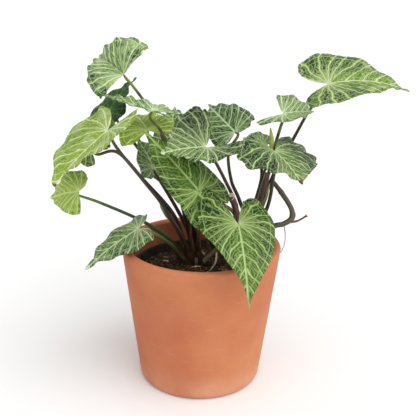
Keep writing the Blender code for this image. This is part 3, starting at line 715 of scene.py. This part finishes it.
def leaf_skin(name, look, under=False):
    """Living leaf blade, grown: a waxy cuticle over soft tissue, with a pale sunken net of veins.

    The wax gives a soft broad sheen (IOR 1.45, roughness about 0.4). Midrib and laterals run pale,
    two finer veins lie in each space between laterals, and cross veins tie them together; the
    tissue is greener by the midrib, dark in the areoles outward, and scorched brown at old tips."""
    vein, flushed, silver, inner, outer, edging, pale_back, patch, fineness = look
    made, tree = material(name, 1.45, specular=0.3)
    place = add(tree, "TexCoord", output=3)
    flat = add(tree, "UVMap", uv_map="UVMap")
    margin = add(tree, "Attribute", attribute_name="margin", output=2)
    veins, marks = (add(tree, "Attribute", attribute_name=field, output=1)
                    for field in ("veins", "marks"))
    run, reach, space = add(tree, "SeparateXYZ", (veins,), output=None)
    shade, scorch, _ = add(tree, "SeparateXYZ", (marks,), output=None)
    # Noises, with the size of what each draws: wander of the veins 12 mm, sway of the finer ones
    # 5 mm, clouds of green 9 mm, silvery zones 16 mm, grain of the cuticle 1.5 mm
    wander, sway, cloud, haze, grain = (
        add(tree, "TexNoise", {"Vector": place, "Scale": scale, "Detail": detail})
        for scale, detail in ((80.0, 2.0), (200.0, 1.0), (110.0, 3.0), (62.0, 2.0), (650.0, 2.0)))

    # Laterals, 1.5 mm wide, that wander so that no two run alike, and the flush along them
    wander = add(tree, "MapRange", (wander, 0.3, 0.7, -0.18, 0.18))
    run = add(tree, "Math", (run, wander), operation="ADD")
    nearest = add(tree, "Math", (run, 0.5), operation="PINGPONG")
    gap = add(tree, "Math", (nearest, space), operation="MULTIPLY")
    lateral = add(tree, "MapRange", (gap, 0.2, 0.9, 0.92, 0.0), **SOFT)
    flush = add(tree, "MapRange", (gap, 0.5, 3.0, 0.65, 0.0), **SOFT)

    # Two finer veins in each space, 0.6 mm wide, that sway by themselves
    sway = add(tree, "MapRange", (sway, 0.3, 0.7, -0.16, 0.16))
    fine = add(tree, "Math", (run, sway), operation="ADD")
    fine = add(tree, "Math", (fine, 1 / 6), operation="PINGPONG")
    fine = add(tree, "Math", (fine, space), operation="MULTIPLY")
    fine = add(tree, "MapRange", (fine, 0.08, 0.5, fineness, 0.0), **SOFT)

    # Midrib, 2 mm wide: distance across is the map's x, in units of 100 mm
    across = add(tree, "SeparateXYZ", (flat,))
    across = add(tree, "Math", (across,), operation="ABSOLUTE")
    midrib = add(tree, "MapRange", (across, 0.006, 0.013, 1.0, 0.0), **SOFT)

    # Collecting vein that runs round inside the margin
    collect = add(tree, "Math", (margin, COLLECTING_VEIN), operation="SUBTRACT")
    collect = add(tree, "Math", (collect,), operation="ABSOLUTE")
    collect = add(tree, "MapRange", (collect, 0.1, 0.6, 0.6, 0.0), **SOFT)

    # Cross veins: cells a third of the space between laterals wide and about 5 mm long
    cell_x = add(tree, "Math", (run, 3.0), operation="MULTIPLY")
    cell_y = add(tree, "Math", (reach, 1 / 5.5), operation="MULTIPLY")
    cells = add(tree, "CombineXYZ", (cell_x, cell_y))
    net = add(tree, "TexVoronoi", {"Vector": cells, "Scale": 1.0, "Randomness": 0.9},
              voronoi_dimensions="2D", feature="DISTANCE_TO_EDGE")
    net = add(tree, "Math", (net, space), operation="MULTIPLY")
    net = add(tree, "MapRange", (net, 0.15, 0.9, fineness * 0.85, 0.0), **SOFT)

    strong = lateral
    for other in (midrib, net, collect, fine):
        strong = add(tree, "Math", (strong, other), operation="MAXIMUM")

    # Green between the veins: fresher by the midrib, deeper outward in clouds, and lighter again
    # in the last few millimetres before the margin
    outward = add(tree, "MapRange", (reach, 3.0, 17.0))
    depth = add(tree, "Math", (outward, cloud, -0.25), operation="MULTIPLY_ADD")
    depth = add(tree, "Math", (outward, depth), operation="ADD", use_clamp=True)
    between = add(tree, "MapRange", (nearest, 0.05, 0.25, 0.45, 1.0))
    depth = add(tree, "Math", (depth, between), operation="MULTIPLY")
    haze = add(tree, "MapRange", (haze, 0.62 - 0.3 * patch, 0.78 - 0.3 * patch), **SOFT)
    edge = add(tree, "MapRange", (margin, 0.5, 3.2, 0.8, 0.0))
    green = coats(tree, inner, (depth, outer), (flush, flushed), (haze, silver), (edge, edging))
    # The sheen of the wax pales what lies under it, so the tissue is deeper than it looks
    green = add(tree, "HueSaturation", (0.48, 1.38, 0.7, 1.0, green))
    colour = coats(tree, green, (strong, vein))
    if under:
        colour = coats(tree, colour, (0.5, pale_back))
    # Painted shade: the colour is darkened where a blade's shade mark says that it lies in shade
    dark = add(tree, "HueSaturation", (0.5, 1.05, 0.42, 1.0, colour))
    brown = add(tree, "Math", (scorch, cloud), operation="ADD")
    brown = add(tree, "MapRange", (brown, 0.85, 1.0))
    colour = coats(tree, colour, (shade, dark), (brown, SCORCH_COLOUR))

    # Cuticle: the sheen breaks up in its grain, and veins lie a little lower than the tissue
    sink = 0.8 if under else -0.8
    height = add(tree, "Math", (strong, sink, grain), operation="MULTIPLY_ADD")
    duller = 0.14 * under
    finish(tree, colour, (grain, 0.36 + duller, 0.50 + duller), (height, 0.4, 0.5))
    return made


def stem_skin(name, stops, streak_colour, streaks):
    """Living rind: smooth skin over fibres, its colour changing along the stem.

    Fine lengthwise fibres 0.6 mm apart give it streaks; a rind shines softly."""
    made, tree = material(name, 1.45)
    growth = add(tree, "Attribute", attribute_name="growth", output=2)
    flat = add(tree, "UVMap", uv_map="UVMap")
    long = add(tree, "Mapping", {"Vector": flat, "Scale": (60.0, 4.0, 1.0)})
    streak = add(tree, "TexNoise", {"Vector": long, "Scale": 3.0, "Detail": 3.0})
    place = add(tree, "TexCoord", output=3)
    mottle = add(tree, "TexNoise", {"Vector": place, "Scale": 90.0, "Detail": 3.0})
    shift = add(tree, "MapRange", (mottle, 0.3, 0.7, -0.10, 0.10))
    shifted = add(tree, "Math", (growth, shift), operation="ADD", use_clamp=True)
    body = add(tree, "ValToRGB", (shifted,), stops)
    pale = add(tree, "MapRange", (streak, 0.52, 0.75, 0.0, streaks))
    body = coats(tree, body, (pale, streak_colour))
    finish(tree, body, (mottle, 0.34, 0.54), (streak, 0.3, 0.4))
    return made


def young_skin(name, stops):
    """New growth still rolled: tender green tissue, browner at its base, with a dull sheen."""
    made, tree = material(name, 1.42)
    growth = add(tree, "Attribute", attribute_name="growth", output=2)
    flat = add(tree, "UVMap", uv_map="UVMap")
    long = add(tree, "Mapping", {"Vector": flat, "Scale": (50.0, 4.0, 1.0)})
    streak = add(tree, "TexNoise", {"Vector": long, "Scale": 3.0, "Detail": 2.0})
    body = add(tree, "ValToRGB", (growth,), stops)
    dark = add(tree, "HueSaturation", {"Value": 0.6, "Color": body})
    pale = add(tree, "MapRange", (streak, 0.45, 0.7, 0.0, 0.6))
    finish(tree, coats(tree, body, (pale, dark)), (streak, 0.40, 0.55), (streak, 0.3, 0.3))
    return made


def root_skin(name, pale, dark):
    """Bare root or dried stem: matt cork with rings and stains 2 mm apart."""
    return grained(name, 1.4, 500.0, 4.0, [(0.35, dark), (0.62, pale)], (0.65, 0.9), (0.5, 0.3))


def fired_clay():
    """Terracotta: unglazed earthenware, jiggered and fired, so matt and slightly porous.

    Warm orange, redder in clouds where it was hotter in the kiln, and darker and redder on the left
    side than on the right as painted shade; with a paler lime bloom round the foot, fine turning
    lines and 1 mm specks; IOR 1.5."""
    made, tree = material("fired_terracotta", 1.5)
    place = add(tree, "TexCoord", output=3)
    east, _, height = add(tree, "SeparateXYZ", (place,), output=None)
    # Noises: clouds of the kiln 60 mm, clouds of lime 20 mm, specks 1 mm, grit 0.7 mm
    cloud, lime, sand, grit = (
        add(tree, "TexNoise", {"Vector": place, "Scale": scale, "Detail": detail})
        for scale, detail in ((16.0, 3.0), (45.0, 5.0), (900.0, 2.0), (1400.0, 3.0)))

    # Painted shade and light: the tone falls towards the pot's left side and rises towards its
    # right
    side = add(tree, "MapRange", (east, -0.07, 0.07, -0.10, 0.10))
    clay_tone_and_painted_shade = add(tree, "Math", (cloud, side), operation="ADD")
    body = add(tree, "ValToRGB", (clay_tone_and_painted_shade,), [(0.30, "#B8633E"), (0.52, "#C07145"),
                                           (0.75, "#C98051")])
    # Lime bloom: a soft pale band round the foot, and faint clouds above it
    bloom = add(tree, "MapRange", (lime, 0.35, 0.75, 0.35, 1.0))
    low = add(tree, "MapRange", (height, 0.004, 0.03, 0.5, 0.08), **SOFT)
    bloom = add(tree, "Math", (bloom, low), operation="MULTIPLY")
    # Specks of sand, and short level scratches from handling
    speck = add(tree, "MapRange", (sand, 0.62, 0.72, 0.0, 0.22))
    level = add(tree, "Mapping", {"Vector": place, "Scale": (60.0, 60.0, 900.0)})
    scratch = add(tree, "TexNoise", {"Vector": level, "Scale": 1.0, "Detail": 3.0})
    mark = add(tree, "MapRange", (scratch, 0.64, 0.74, 0.0, 0.18))
    body = coats(tree, body, (bloom, "#E3B59A"), (speck, "#8A4429"), (mark, "#E8B795"))
    relief = add(tree, "Math", (scratch, 0.6, grit), operation="MULTIPLY_ADD")
    finish(tree, body, (cloud, 0.72, 0.88), (relief, 0.25, 0.3))
    return made


def darker_inner_clay():
    """The same earthenware inside the pot, darker, in 25 mm clouds."""
    return grained("darker_inner_terracotta", 1.5, 40.0, 5.0, [(0.30, "#8A4428"), (0.70, "#AE6440")],
                   (0.70, 0.90), (0.3, 0.5))


def moulded_plastic():
    """Nursery pot: black polypropylene, vacuum formed, semi-matt with 6 mm clouds of dust."""
    return grained("black_polypropylene", 1.49, 160.0, 5.0, [(0.35, "#151515"), (0.8, "#3A342E")],
                   (0.35, 0.70), (0.2, 0.2))


def potting_mix(name, dark, brown, tan):
    """Potting mix: peat and composted bark, crumbly, so dead matt, with paler bits 1 to 3 mm."""
    made, tree = material(name, 1.35)
    place = add(tree, "TexCoord", output=3)
    crumb = add(tree, "TexVoronoi", {"Vector": place, "Scale": 420.0})
    fine = add(tree, "TexNoise", {"Vector": place, "Scale": 700.0, "Detail": 4.0})
    mix = add(tree, "Math", (crumb, 0.45, fine), operation="MULTIPLY_ADD")
    body = add(tree, "ValToRGB", (mix,), [(0.45, dark), (0.75, brown), (0.93, tan)])
    finish(tree, body, (fine, 0.85, 1.0), (mix, 0.8, 1.2))
    return made


def studio_floor():
    """Painted studio floor: matt white in faint broad clouds, too smooth for relief to show."""
    return grained("white_matt_paint", 1.4, 3.0, 2.0, [(0.3, "#F2F2F2"), (0.7, "#F5F5F5")],
                   (0.8, 0.9), (0.0, 0.0))


# ---------------------------------------------------------------- leaves

def vein_fields(leaf, side, along, across):
    """Where each point lies among the veins.

    Whole numbers of the first field are lateral or basal veins; the second is the reach in
    millimetres from the midrib or the petiole, the third the space between veins there, and the
    last the distance in from the margin."""
    x, y = flat_blade(leaf, side, along, across)
    space = leaf["length"] / LATERALS
    slope = leaf["slope"]
    arched = y - LATERAL_ARCH * x**2
    first = (arched - slope * x) / space
    slant = math.atan2(1, slope)
    turn = (np.arctan2(x, arched) - slant) / math.radians(BASAL_FAN)
    reach = np.hypot(x, 0.5 * np.minimum(y, 0))
    run = np.where(first >= 0, first, -np.maximum(turn, 0))
    gap = np.where(first >= 0, space * math.sin(slant),
                   np.hypot(x, y) * math.radians(BASAL_FAN))
    edge_x, edge_y = flat_blade(leaf, side, along, 0 * across + 1)
    margin = np.hypot(edge_x - x, edge_y - y)
    return x * side, y, np.stack([run, reach, gap], -1), margin


def mark_field(leaf, x, y):
    """Strength of painted shade and of scorch at points of the flat blade."""
    marks = np.zeros((len(x), 3))
    for kind, centre, size, strength in leaf["marks"]:
        across = (x / (leaf["width"] / 2) - centre[0]) / size[0]
        along = (y / leaf["length"] - centre[1]) / size[1]
        column = ("shade", "scorch").index(kind)
        marks[:, column] = np.maximum(marks[:, column],
                                      strength * np.exp(-(across**2 + along**2)))
    return marks


def blade_relief(piece):
    """Sink the veins and quilt the tissue between them, along the blade's own normals."""
    margin = read_field(piece, "margin", 1)
    run, reach, gap = read_field(piece, "veins", 3).T
    nearest = np.abs(run - np.rint(run))
    spread = np.clip(reach / RELIEF_REACH, 0, 1)
    quilt = -0.5 * QUILT * np.cos(math.tau * nearest)
    rungs = RUNG * np.sin(math.tau * (reach / RUNG_SPACE + 0.37 * np.rint(run)))
    veins = VEIN_SINK * np.exp(-(nearest * gap / VEIN_WIDTH) ** 2)
    rise = ((quilt + rungs) * spread - veins) * np.clip(margin / 3.0, 0, 1)
    rise -= MIDRIB_SINK * np.exp(-(reach / MIDRIB_WIDTH) ** 2) * np.clip(margin / 2.0, 0, 1)
    rise += KNOT * np.exp(-(reach / KNOT_REACH) ** 2 - (gap / KNOT_GAP) ** 2)
    points = read_points(piece)
    flutter = np.array([noise.noise(Vector(p) / (FLUTTER_SIZE * MM)) for p in points])
    rise += FLUTTER * flutter * np.exp(-margin / FLUTTER_REACH)
    write_points(piece, points + read_points(piece, "normal") * rise[:, None] * MM)


def ragged(along, side):
    """Small nicks of the margin at uneven spaces, 0 to 1."""
    first = np.sin(math.tau * (19 * along + 0.3 * side))
    second = np.sin(math.tau * (27 * along + 0.1 * side))
    return np.clip(first, 0, 1) * np.clip(second, 0, 1)


def make_blade(name, top, under):
    """Blade of one leaf: two fine halves merged at the midrib, veined and thickened."""
    leaf = {**PLAIN_BLADE, **LEAVES[name]}
    columns = int(np.clip(round(leaf["width"] / 2 / BLADE_MESH), *BLADE_COLUMNS))
    rows = int(np.clip(round(leaf["length"] * 1.5 / BLADE_MESH), *BLADE_ROWS))
    halves = []
    for side in (-1, 1):
        half, share, along = sheet(name, columns, rows)
        across = share if side > 0 else 1 - share
        across = across * (1 - NOTCH * ragged(along, side))
        write_points(half, blade_points(leaf, side, along, across) * MM)
        x, y, veins, margin = vein_fields(leaf, side, along, across)
        write_map(half, x / 100, y / 100)
        write_field(half, "veins", veins)
        write_field(half, "margin", margin)
        write_field(half, "marks", mark_field(leaf, x, y))
        halves.append(half)
    blade = joined("foliage_" + name[5:], halves)
    close_shell(blade, fill=False)
    blade_relief(blade)
    dress(blade, top, under)
    pick(blade)
    bpy.ops.object.modifier_add(type="SOLIDIFY")
    skin = blade.modifiers[-1]
    skin.thickness = BLADE_THICKNESS * MM
    skin.offset = 0
    skin.material_offset = 1
    bpy.ops.object.modifier_apply(modifier=skin.name)
    smooth(blade, 60)
    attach(blade, BODY)
    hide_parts(name)


def make_foliage():
    """Every leaf in its finish, undersides paler."""
    skins = {finish: (leaf_skin("leaf_" + finish, look),
                      leaf_skin("leaf_under_" + finish, look, under=True))
             for finish, look in FOLIAGE.items()}
    for name, leaf in LEAVES.items():
        make_blade(name, *skins[leaf["finish"]])


# ---------------------------------------------------------------- shoots

def petiole_section(along, angle):
    """Swollen foot, two sheath wings on the lower part, and a slight swelling under the blade."""
    off = np.minimum(angle, math.tau - angle)
    foot = FOOT * np.clip(1 - along / FOOT_END, 0, 1) ** 2
    wings = WING * np.exp(-((off - WING_ANGLE) / WING_SPREAD) ** 2)
    groove = GROOVE * np.exp(-(off / GROOVE_SPREAD) ** 2)
    knee = KNEE * np.exp(-((along - KNEE_AT) / KNEE_LENGTH) ** 2)
    return 1 + foot + knee + (wings - groove) * np.clip(1 - along / WING_END, 0, 1) ** 0.7


def knotted_section(along, angle):
    """Stem with leaf scars: a raised ring each quarter of its length."""
    ring = np.exp(-(((along * 4) % 1 - 0.5) / 0.06) ** 2)
    return 1 + 0.12 * ring + 0.04 * np.sin(3 * angle + 9 * along)


def rolled_section(along, angle):
    """Spindle wound from one edge: a shallow step runs up it."""
    return 0.93 + 0.14 * ((angle / math.tau + 0.35 * along) % 1)


def sheath_section(along, angle):
    """Flat strip with a frayed tip and a shallow keel."""
    flat = 1 / np.sqrt(np.cos(angle) ** 2 + (np.sin(angle) / SHEATH_THICKNESS) ** 2)
    fray = 0.16 * np.sin(5 * angle + 2) * np.sin(math.tau * 2.3 * along)
    return flat * (1 + fray * along)


def make_crown(name, crown):
    """Short stem at the soil, lumpy with old leaf bases."""
    base = SOIL_HEIGHT - CROWN_DEPTH
    top = SOIL_HEIGHT + CROWN_RISE
    radius = crown["radius"]
    profile = [(radius * 0.9, base), (radius, base + 2)]
    profile += [(radius * share, top + over) for share, over in CROWN_TOP]
    piece = turned("crown_" + name, profile, sides=40)
    points = read_points(piece)
    angle = np.arctan2(points[:, 1], points[:, 0])
    lobes = 1 - CROWN_LOBE * np.abs(np.sin(2.5 * angle))
    points[:, :2] = points[:, :2] * lobes[:, None] + np.array(crown["at"]) * MM
    write_points(piece, points)
    write_field(piece, "growth", 0 * angle)
    return piece


def make_shoot(name, rinds):
    """Crown and petioles of one shoot, with the right shoot's bare stems."""
    crown = CROWNS[name]
    limbs = [make_crown(name, crown)]
    dress(limbs[0], rinds["old_rind"])
    centre = np.array([*crown["at"], 130.0])
    for leaf, via in PETIOLES[name].items():
        facing = centre - np.array(via[0]) + (0.01, 0.02, 0.0)
        limb = tube("petiole_" + leaf[5:], petiole_stations(leaf, crown, via), sides=22,
                    step=1.4, section=petiole_section, facing=facing)
        dress(limb, rinds[PETIOLE_RINDS.get(leaf, "petiole_rind")])
        limbs.append(limb)
    if name == "shoot_right":
        for stem, skin in STEM_RINDS:
            limbs.append(tube("stem", stem, sides=24, step=1.4, section=knotted_section))
            dress(limbs[-1], rinds[skin])
    shoot = joined("petioles_" + name[6:], limbs)
    smooth(shoot, 60)
    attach(shoot, BODY)
    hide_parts(name)


def make_sheath(width, foot, tip, facing=None):
    """Papery strip that bows outwards from foot to tip, its width across the way it leans."""
    foot, tip = np.array(foot, dtype=float), np.array(tip, dtype=float)
    lean = tip - foot
    bow = np.array([lean[0], lean[1], 0.0])
    middle = (foot + tip) / 2 + bow * 0.12
    stations = [(*foot, width * 0.5), (*middle, width * 0.45), (*tip, width * 0.12)]
    facing = facing or (-lean[1], lean[0] + 0.01, 0.0)
    return tube("sheath", stations, sides=20, step=0.9, section=sheath_section, facing=facing)


def make_small_growth(rinds):
    """Rolled new leaf, bud, dried stub, cut face, bare roots and old sheaths."""
    fresh = young_skin("new_growth", [(0.0, "#4A3A22"), (0.35, "#5E5A2A"), (0.6, "#8FA63C"),
                                      (1.0, "#B2C25A")])
    bud_skin = young_skin("bud_scale", [(0.0, "#33421C"), (0.4, "#2A5018"), (1.0, "#2F6A1C")])
    cork = root_skin("dried_stem_cork", "#8A5638", "#5A3322")
    pale_root = root_skin("bare_root", "#D8CBB2", "#94795A")
    hair = root_skin("hair_root_skin", "#8F8A92", "#5C5660")
    cut = root_skin("cut_stem_face", "#F3D9C6", "#D8AE96")
    pieces = [
        ("rolled_leaf", [tube("rolled_leaf", NEW_LEAF, 24, 0.8, rolled_section)], fresh),
        ("green_bud", [tube("green_bud", BUD, 20, 0.8, rolled_section)], bud_skin),
        ("dried_stub", [tube("dried_stub", DRY_STUB, 18, 0.7, knotted_section)], cork),
        ("cut_face", [make_cut_face()], cut),
        ("bare_roots", [tube("bare_root", route, 12, 0.9) for route in ROOTS], pale_root),
        ("hair_root", [tube("hair_root", HAIR_ROOT, 10, 0.9)], hair),
        ("old_sheaths", [make_sheath(*sheath) for sheath in SHEATHS], rinds["dry_sheath"]),
        ("sheath_wings", [make_sheath(*wing) for wing in WINGS], rinds["sheath_wing"]),
    ]
    for name, parts, skin in pieces:
        piece = joined(name, parts)
        dress(piece, skin)
        smooth(piece, 50)
        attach(piece, BODY)


def make_cut_face():
    """Old cut across the standing stem, a little proud at its bark."""
    x, y, z, radius = CUT_STEM[-1]
    face = turned("cut_face", [(radius * share, over) for share, over in CUT_PROFILE], sides=24)
    turn = Vector((0, 0, 1)).rotation_difference(Vector(CUT_FACING)).to_matrix()
    points = read_points(face) @ np.array(turn).T
    write_points(face, points + np.array([x, y, z]) * MM)
    return face


# ---------------------------------------------------------------- pot and soil

def make_pot():
    """Turned terracotta pot with a rounded rim and foot; its inside has the darker clay."""
    slope = (POT_RIM_RADIUS - POT_BASE_RADIUS) / POT_HEIGHT
    inner_rim = POT_RIM_RADIUS - POT_WALL
    inner_base = POT_BASE_RADIUS - POT_WALL + slope * POT_FLOOR
    outer_base = POT_BASE_RADIUS + 1
    top = POT_HEIGHT - POT_RIM_ROUND
    profile = [(POT_HUB, 0), *arc(outer_base - POT_FOOT_ROUND, POT_FOOT_ROUND, POT_FOOT_ROUND,
                                  -90, 0)]
    profile += zip(np.linspace(outer_base, POT_RIM_RADIUS, OUTER_RINGS + 1)[1:-1],
                   np.linspace(POT_FOOT_ROUND, top, OUTER_RINGS + 1)[1:-1])
    profile += arc(POT_RIM_RADIUS - POT_RIM_ROUND, top, POT_RIM_ROUND, 0, 90)
    profile += arc(inner_rim + POT_RIM_ROUND, top, POT_RIM_ROUND, 90, 180)[1:]
    profile += zip(np.linspace(inner_rim, inner_base, INNER_RINGS + 1)[1:],
                   np.linspace(top, POT_FLOOR + 3, INNER_RINGS + 1)[1:])
    profile += [(inner_base - 3, POT_FLOOR), (POT_HUB, POT_FLOOR)]
    pot = turned("clay_pot", profile, POT_SIDES)
    # Hand-finished: the wall wanders by a tenth of a millimetre over 20 mm
    points, normals = read_points(pot), read_points(pot, "normal")
    wander = np.array([noise.noise(Vector(p) * 45.0) for p in points])
    standing = np.clip(points[:, 2] / (6 * MM), 0, 1)
    write_points(pot, points + normals * (wander * standing * POT_WANDER * MM)[:, None])
    dress(pot, fired_clay(), darker_inner_clay())
    centre, facing = (np.array([getattr(face, what) for face in pot.data.polygons])
                      for what in ("center", "normal"))
    inward = (centre[:, :2] * facing[:, :2]).sum(1) < 0
    inside = (inward | (facing[:, 2] > 0.9)) & (centre[:, 2] < (top - 4) * MM)
    pot.data.polygons.foreach_set("material_index", inside.astype(int))
    smooth(pot, 40)
    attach(pot, BODY)
    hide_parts("terracotta_pot")


def make_soil():
    """Body of potting mix with a crumbled top, and loose crumbs and fibres on it."""
    rings = [(SOIL_TOP_RADIUS * (1 - k / SOIL_RINGS), SOIL_HEIGHT) for k in range(SOIL_RINGS)]
    soil = turned("potting_mix", [(SOIL_BASE_RADIUS, SOIL_FLOOR), *rings], SOIL_SIDES)
    points = read_points(soil)
    for point in points:
        if point[2] > (SOIL_HEIGHT - 1) * MM:
            at = Vector(point)
            point[2] += MM * sum(high * noise.noise(at / (wide * MM)) for high, wide in SOIL_LUMPS)
    write_points(soil, points)
    dress(soil, potting_mix("peat_and_bark", "#0E0A07", "#281C15", "#74573A"))
    smooth(soil, 70)
    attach(soil, BODY)
    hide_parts("potting_soil")
    make_crumbs()


def spot(draw, share):
    """Random place on the soil, even over its area, within a share of its radius."""
    angle, out = draw.uniform(0, math.tau), SOIL_TOP_RADIUS * share * math.sqrt(draw.random())
    return out * math.cos(angle), out * math.sin(angle)


def make_crumbs():
    """Loose bits on the soil: a crumb modelled once, then copied, turned and sized, and fibres."""
    draw = random.Random(SEED)
    deselect()
    bpy.ops.mesh.primitive_ico_sphere_add(subdivisions=2, radius=1.0)
    crumb = bpy.context.object
    rough = read_points(crumb)
    rough *= np.array([1 + 0.45 * noise.noise(Vector(p) * 1.7) for p in rough])[:, None]
    write_points(crumb, rough)
    crumbs, chips, fibres = [], [], []
    for k in range(CRUMBS):
        x, y = spot(draw, 0.97)
        size = draw.choice(CRUMB_SIZES)
        chip = k % CHIP_EVERY == 0
        shape = size * np.array(CHIP_SHAPE if chip else CRUMB_SHAPE)
        turn = (Matrix.Rotation(draw.uniform(0, math.tau), 3, "Z")
                @ Matrix.Rotation(draw.uniform(-0.5, 0.5), 3, "X"))
        copy = crumb.copy()
        copy.data = crumb.data.copy()
        bpy.context.collection.objects.link(copy)
        points = rough * shape @ np.array(turn).T
        write_points(copy, (points + (x, y, SOIL_HEIGHT + 0.3 + size * 0.2)) * MM)
        (chips if chip else crumbs).append(copy)
    bpy.data.objects.remove(crumb)
    for _ in range(FIBRES):
        x, y = spot(draw, 0.9)
        turn = draw.uniform(0, math.tau)
        reach, sway = draw.uniform(2.5, 6.0), draw.uniform(-1.5, 1.5)
        dx, dy = math.cos(turn), math.sin(turn)
        height = SOIL_HEIGHT + 1.2
        stations = [(x - dx * reach, y - dy * reach, height - 0.8, 0.16),
                    (x - dy * sway, y + dx * sway, height + 0.6, 0.2),
                    (x + dx * reach, y + dy * reach, height - 0.6, 0.12)]
        fibres.append(tube("fibre", stations, 6, 1.2))
    for name, group, skin in (
        ("peat_crumbs", crumbs, potting_mix("peat_crumb", "#1A120D", "#3A291D", "#5C4330")),
        ("bark_chips", chips, potting_mix("pine_bark", "#3A2517", "#6E4D33", "#A98660")),
        ("coir_fibres", fibres, root_skin("coir_fibre", "#9A7A55", "#4F3724")),
    ):
        piece = joined(name, group)
        dress(piece, skin)
        smooth(piece, 60)
        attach(piece, BODY)


# ---------------------------------------------------------------- studio

def make_studio():
    """White floor, a broad soft lamp from the right and pale light from all round."""
    deselect()
    bpy.ops.mesh.primitive_circle_add(vertices=96, radius=FLOOR_RADIUS, fill_type="NGON")
    floor = bpy.context.object
    floor.name = floor.data.name = "studio_floor"
    dress(floor, studio_floor())

    bpy.ops.object.light_add(type="SUN", location=(1, -1, 2))
    lamp = bpy.context.object
    lamp.name = "soft_lamp"
    lamp.data.energy = LAMP_STRENGTH
    lamp.data.angle = math.radians(LAMP_SPREAD)
    lamp.rotation_euler = Vector(LAMP_FROM).to_track_quat("Z", "Y").to_euler()

    world = bpy.data.worlds.new("studio_air")
    bpy.context.scene.world = world
    world.use_nodes = True
    sky = world.node_tree.nodes["Background"]
    sky.inputs[0].default_value = linear("#FFFFFF")
    sky.inputs[1].default_value = AIR_LIGHT
    bpy.context.scene.view_settings.view_transform = "Standard"


def make_camera():
    """Camera at the photograph's place and turn."""
    yaw, tilt, roll = (math.radians(a) for a in (CAMERA_YAW, CAMERA_TILT, CAMERA_ROLL))
    ahead = Vector((math.sin(yaw) * math.cos(tilt), math.cos(yaw) * math.cos(tilt),
                    -math.sin(tilt)))
    level = Vector((math.cos(yaw), -math.sin(yaw), 0))
    above = level.cross(ahead)
    right = level * math.cos(roll) + above * math.sin(roll)
    top = above * math.cos(roll) - level * math.sin(roll)
    bpy.ops.object.camera_add(location=Vector(CAMERA_AT) * MM)
    camera = bpy.context.object
    camera.name = "photograph_camera"
    camera.data.lens = CAMERA_LENS
    camera.data.clip_start = 0.02
    turn = Matrix((right, top, -ahead)).transposed()
    camera.rotation_euler = turn.to_euler()
    bpy.context.scene.camera = camera


make_camera()
make_studio()
make_pot()
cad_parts["nursery_pot"].material_slots[0].material = moulded_plastic()
make_soil()
rinds = {name: stem_skin(name, *look) for name, look in RINDS.items()}
for shoot in CROWNS:
    make_shoot(shoot, rinds)
make_small_growth(rinds)
make_foliage()
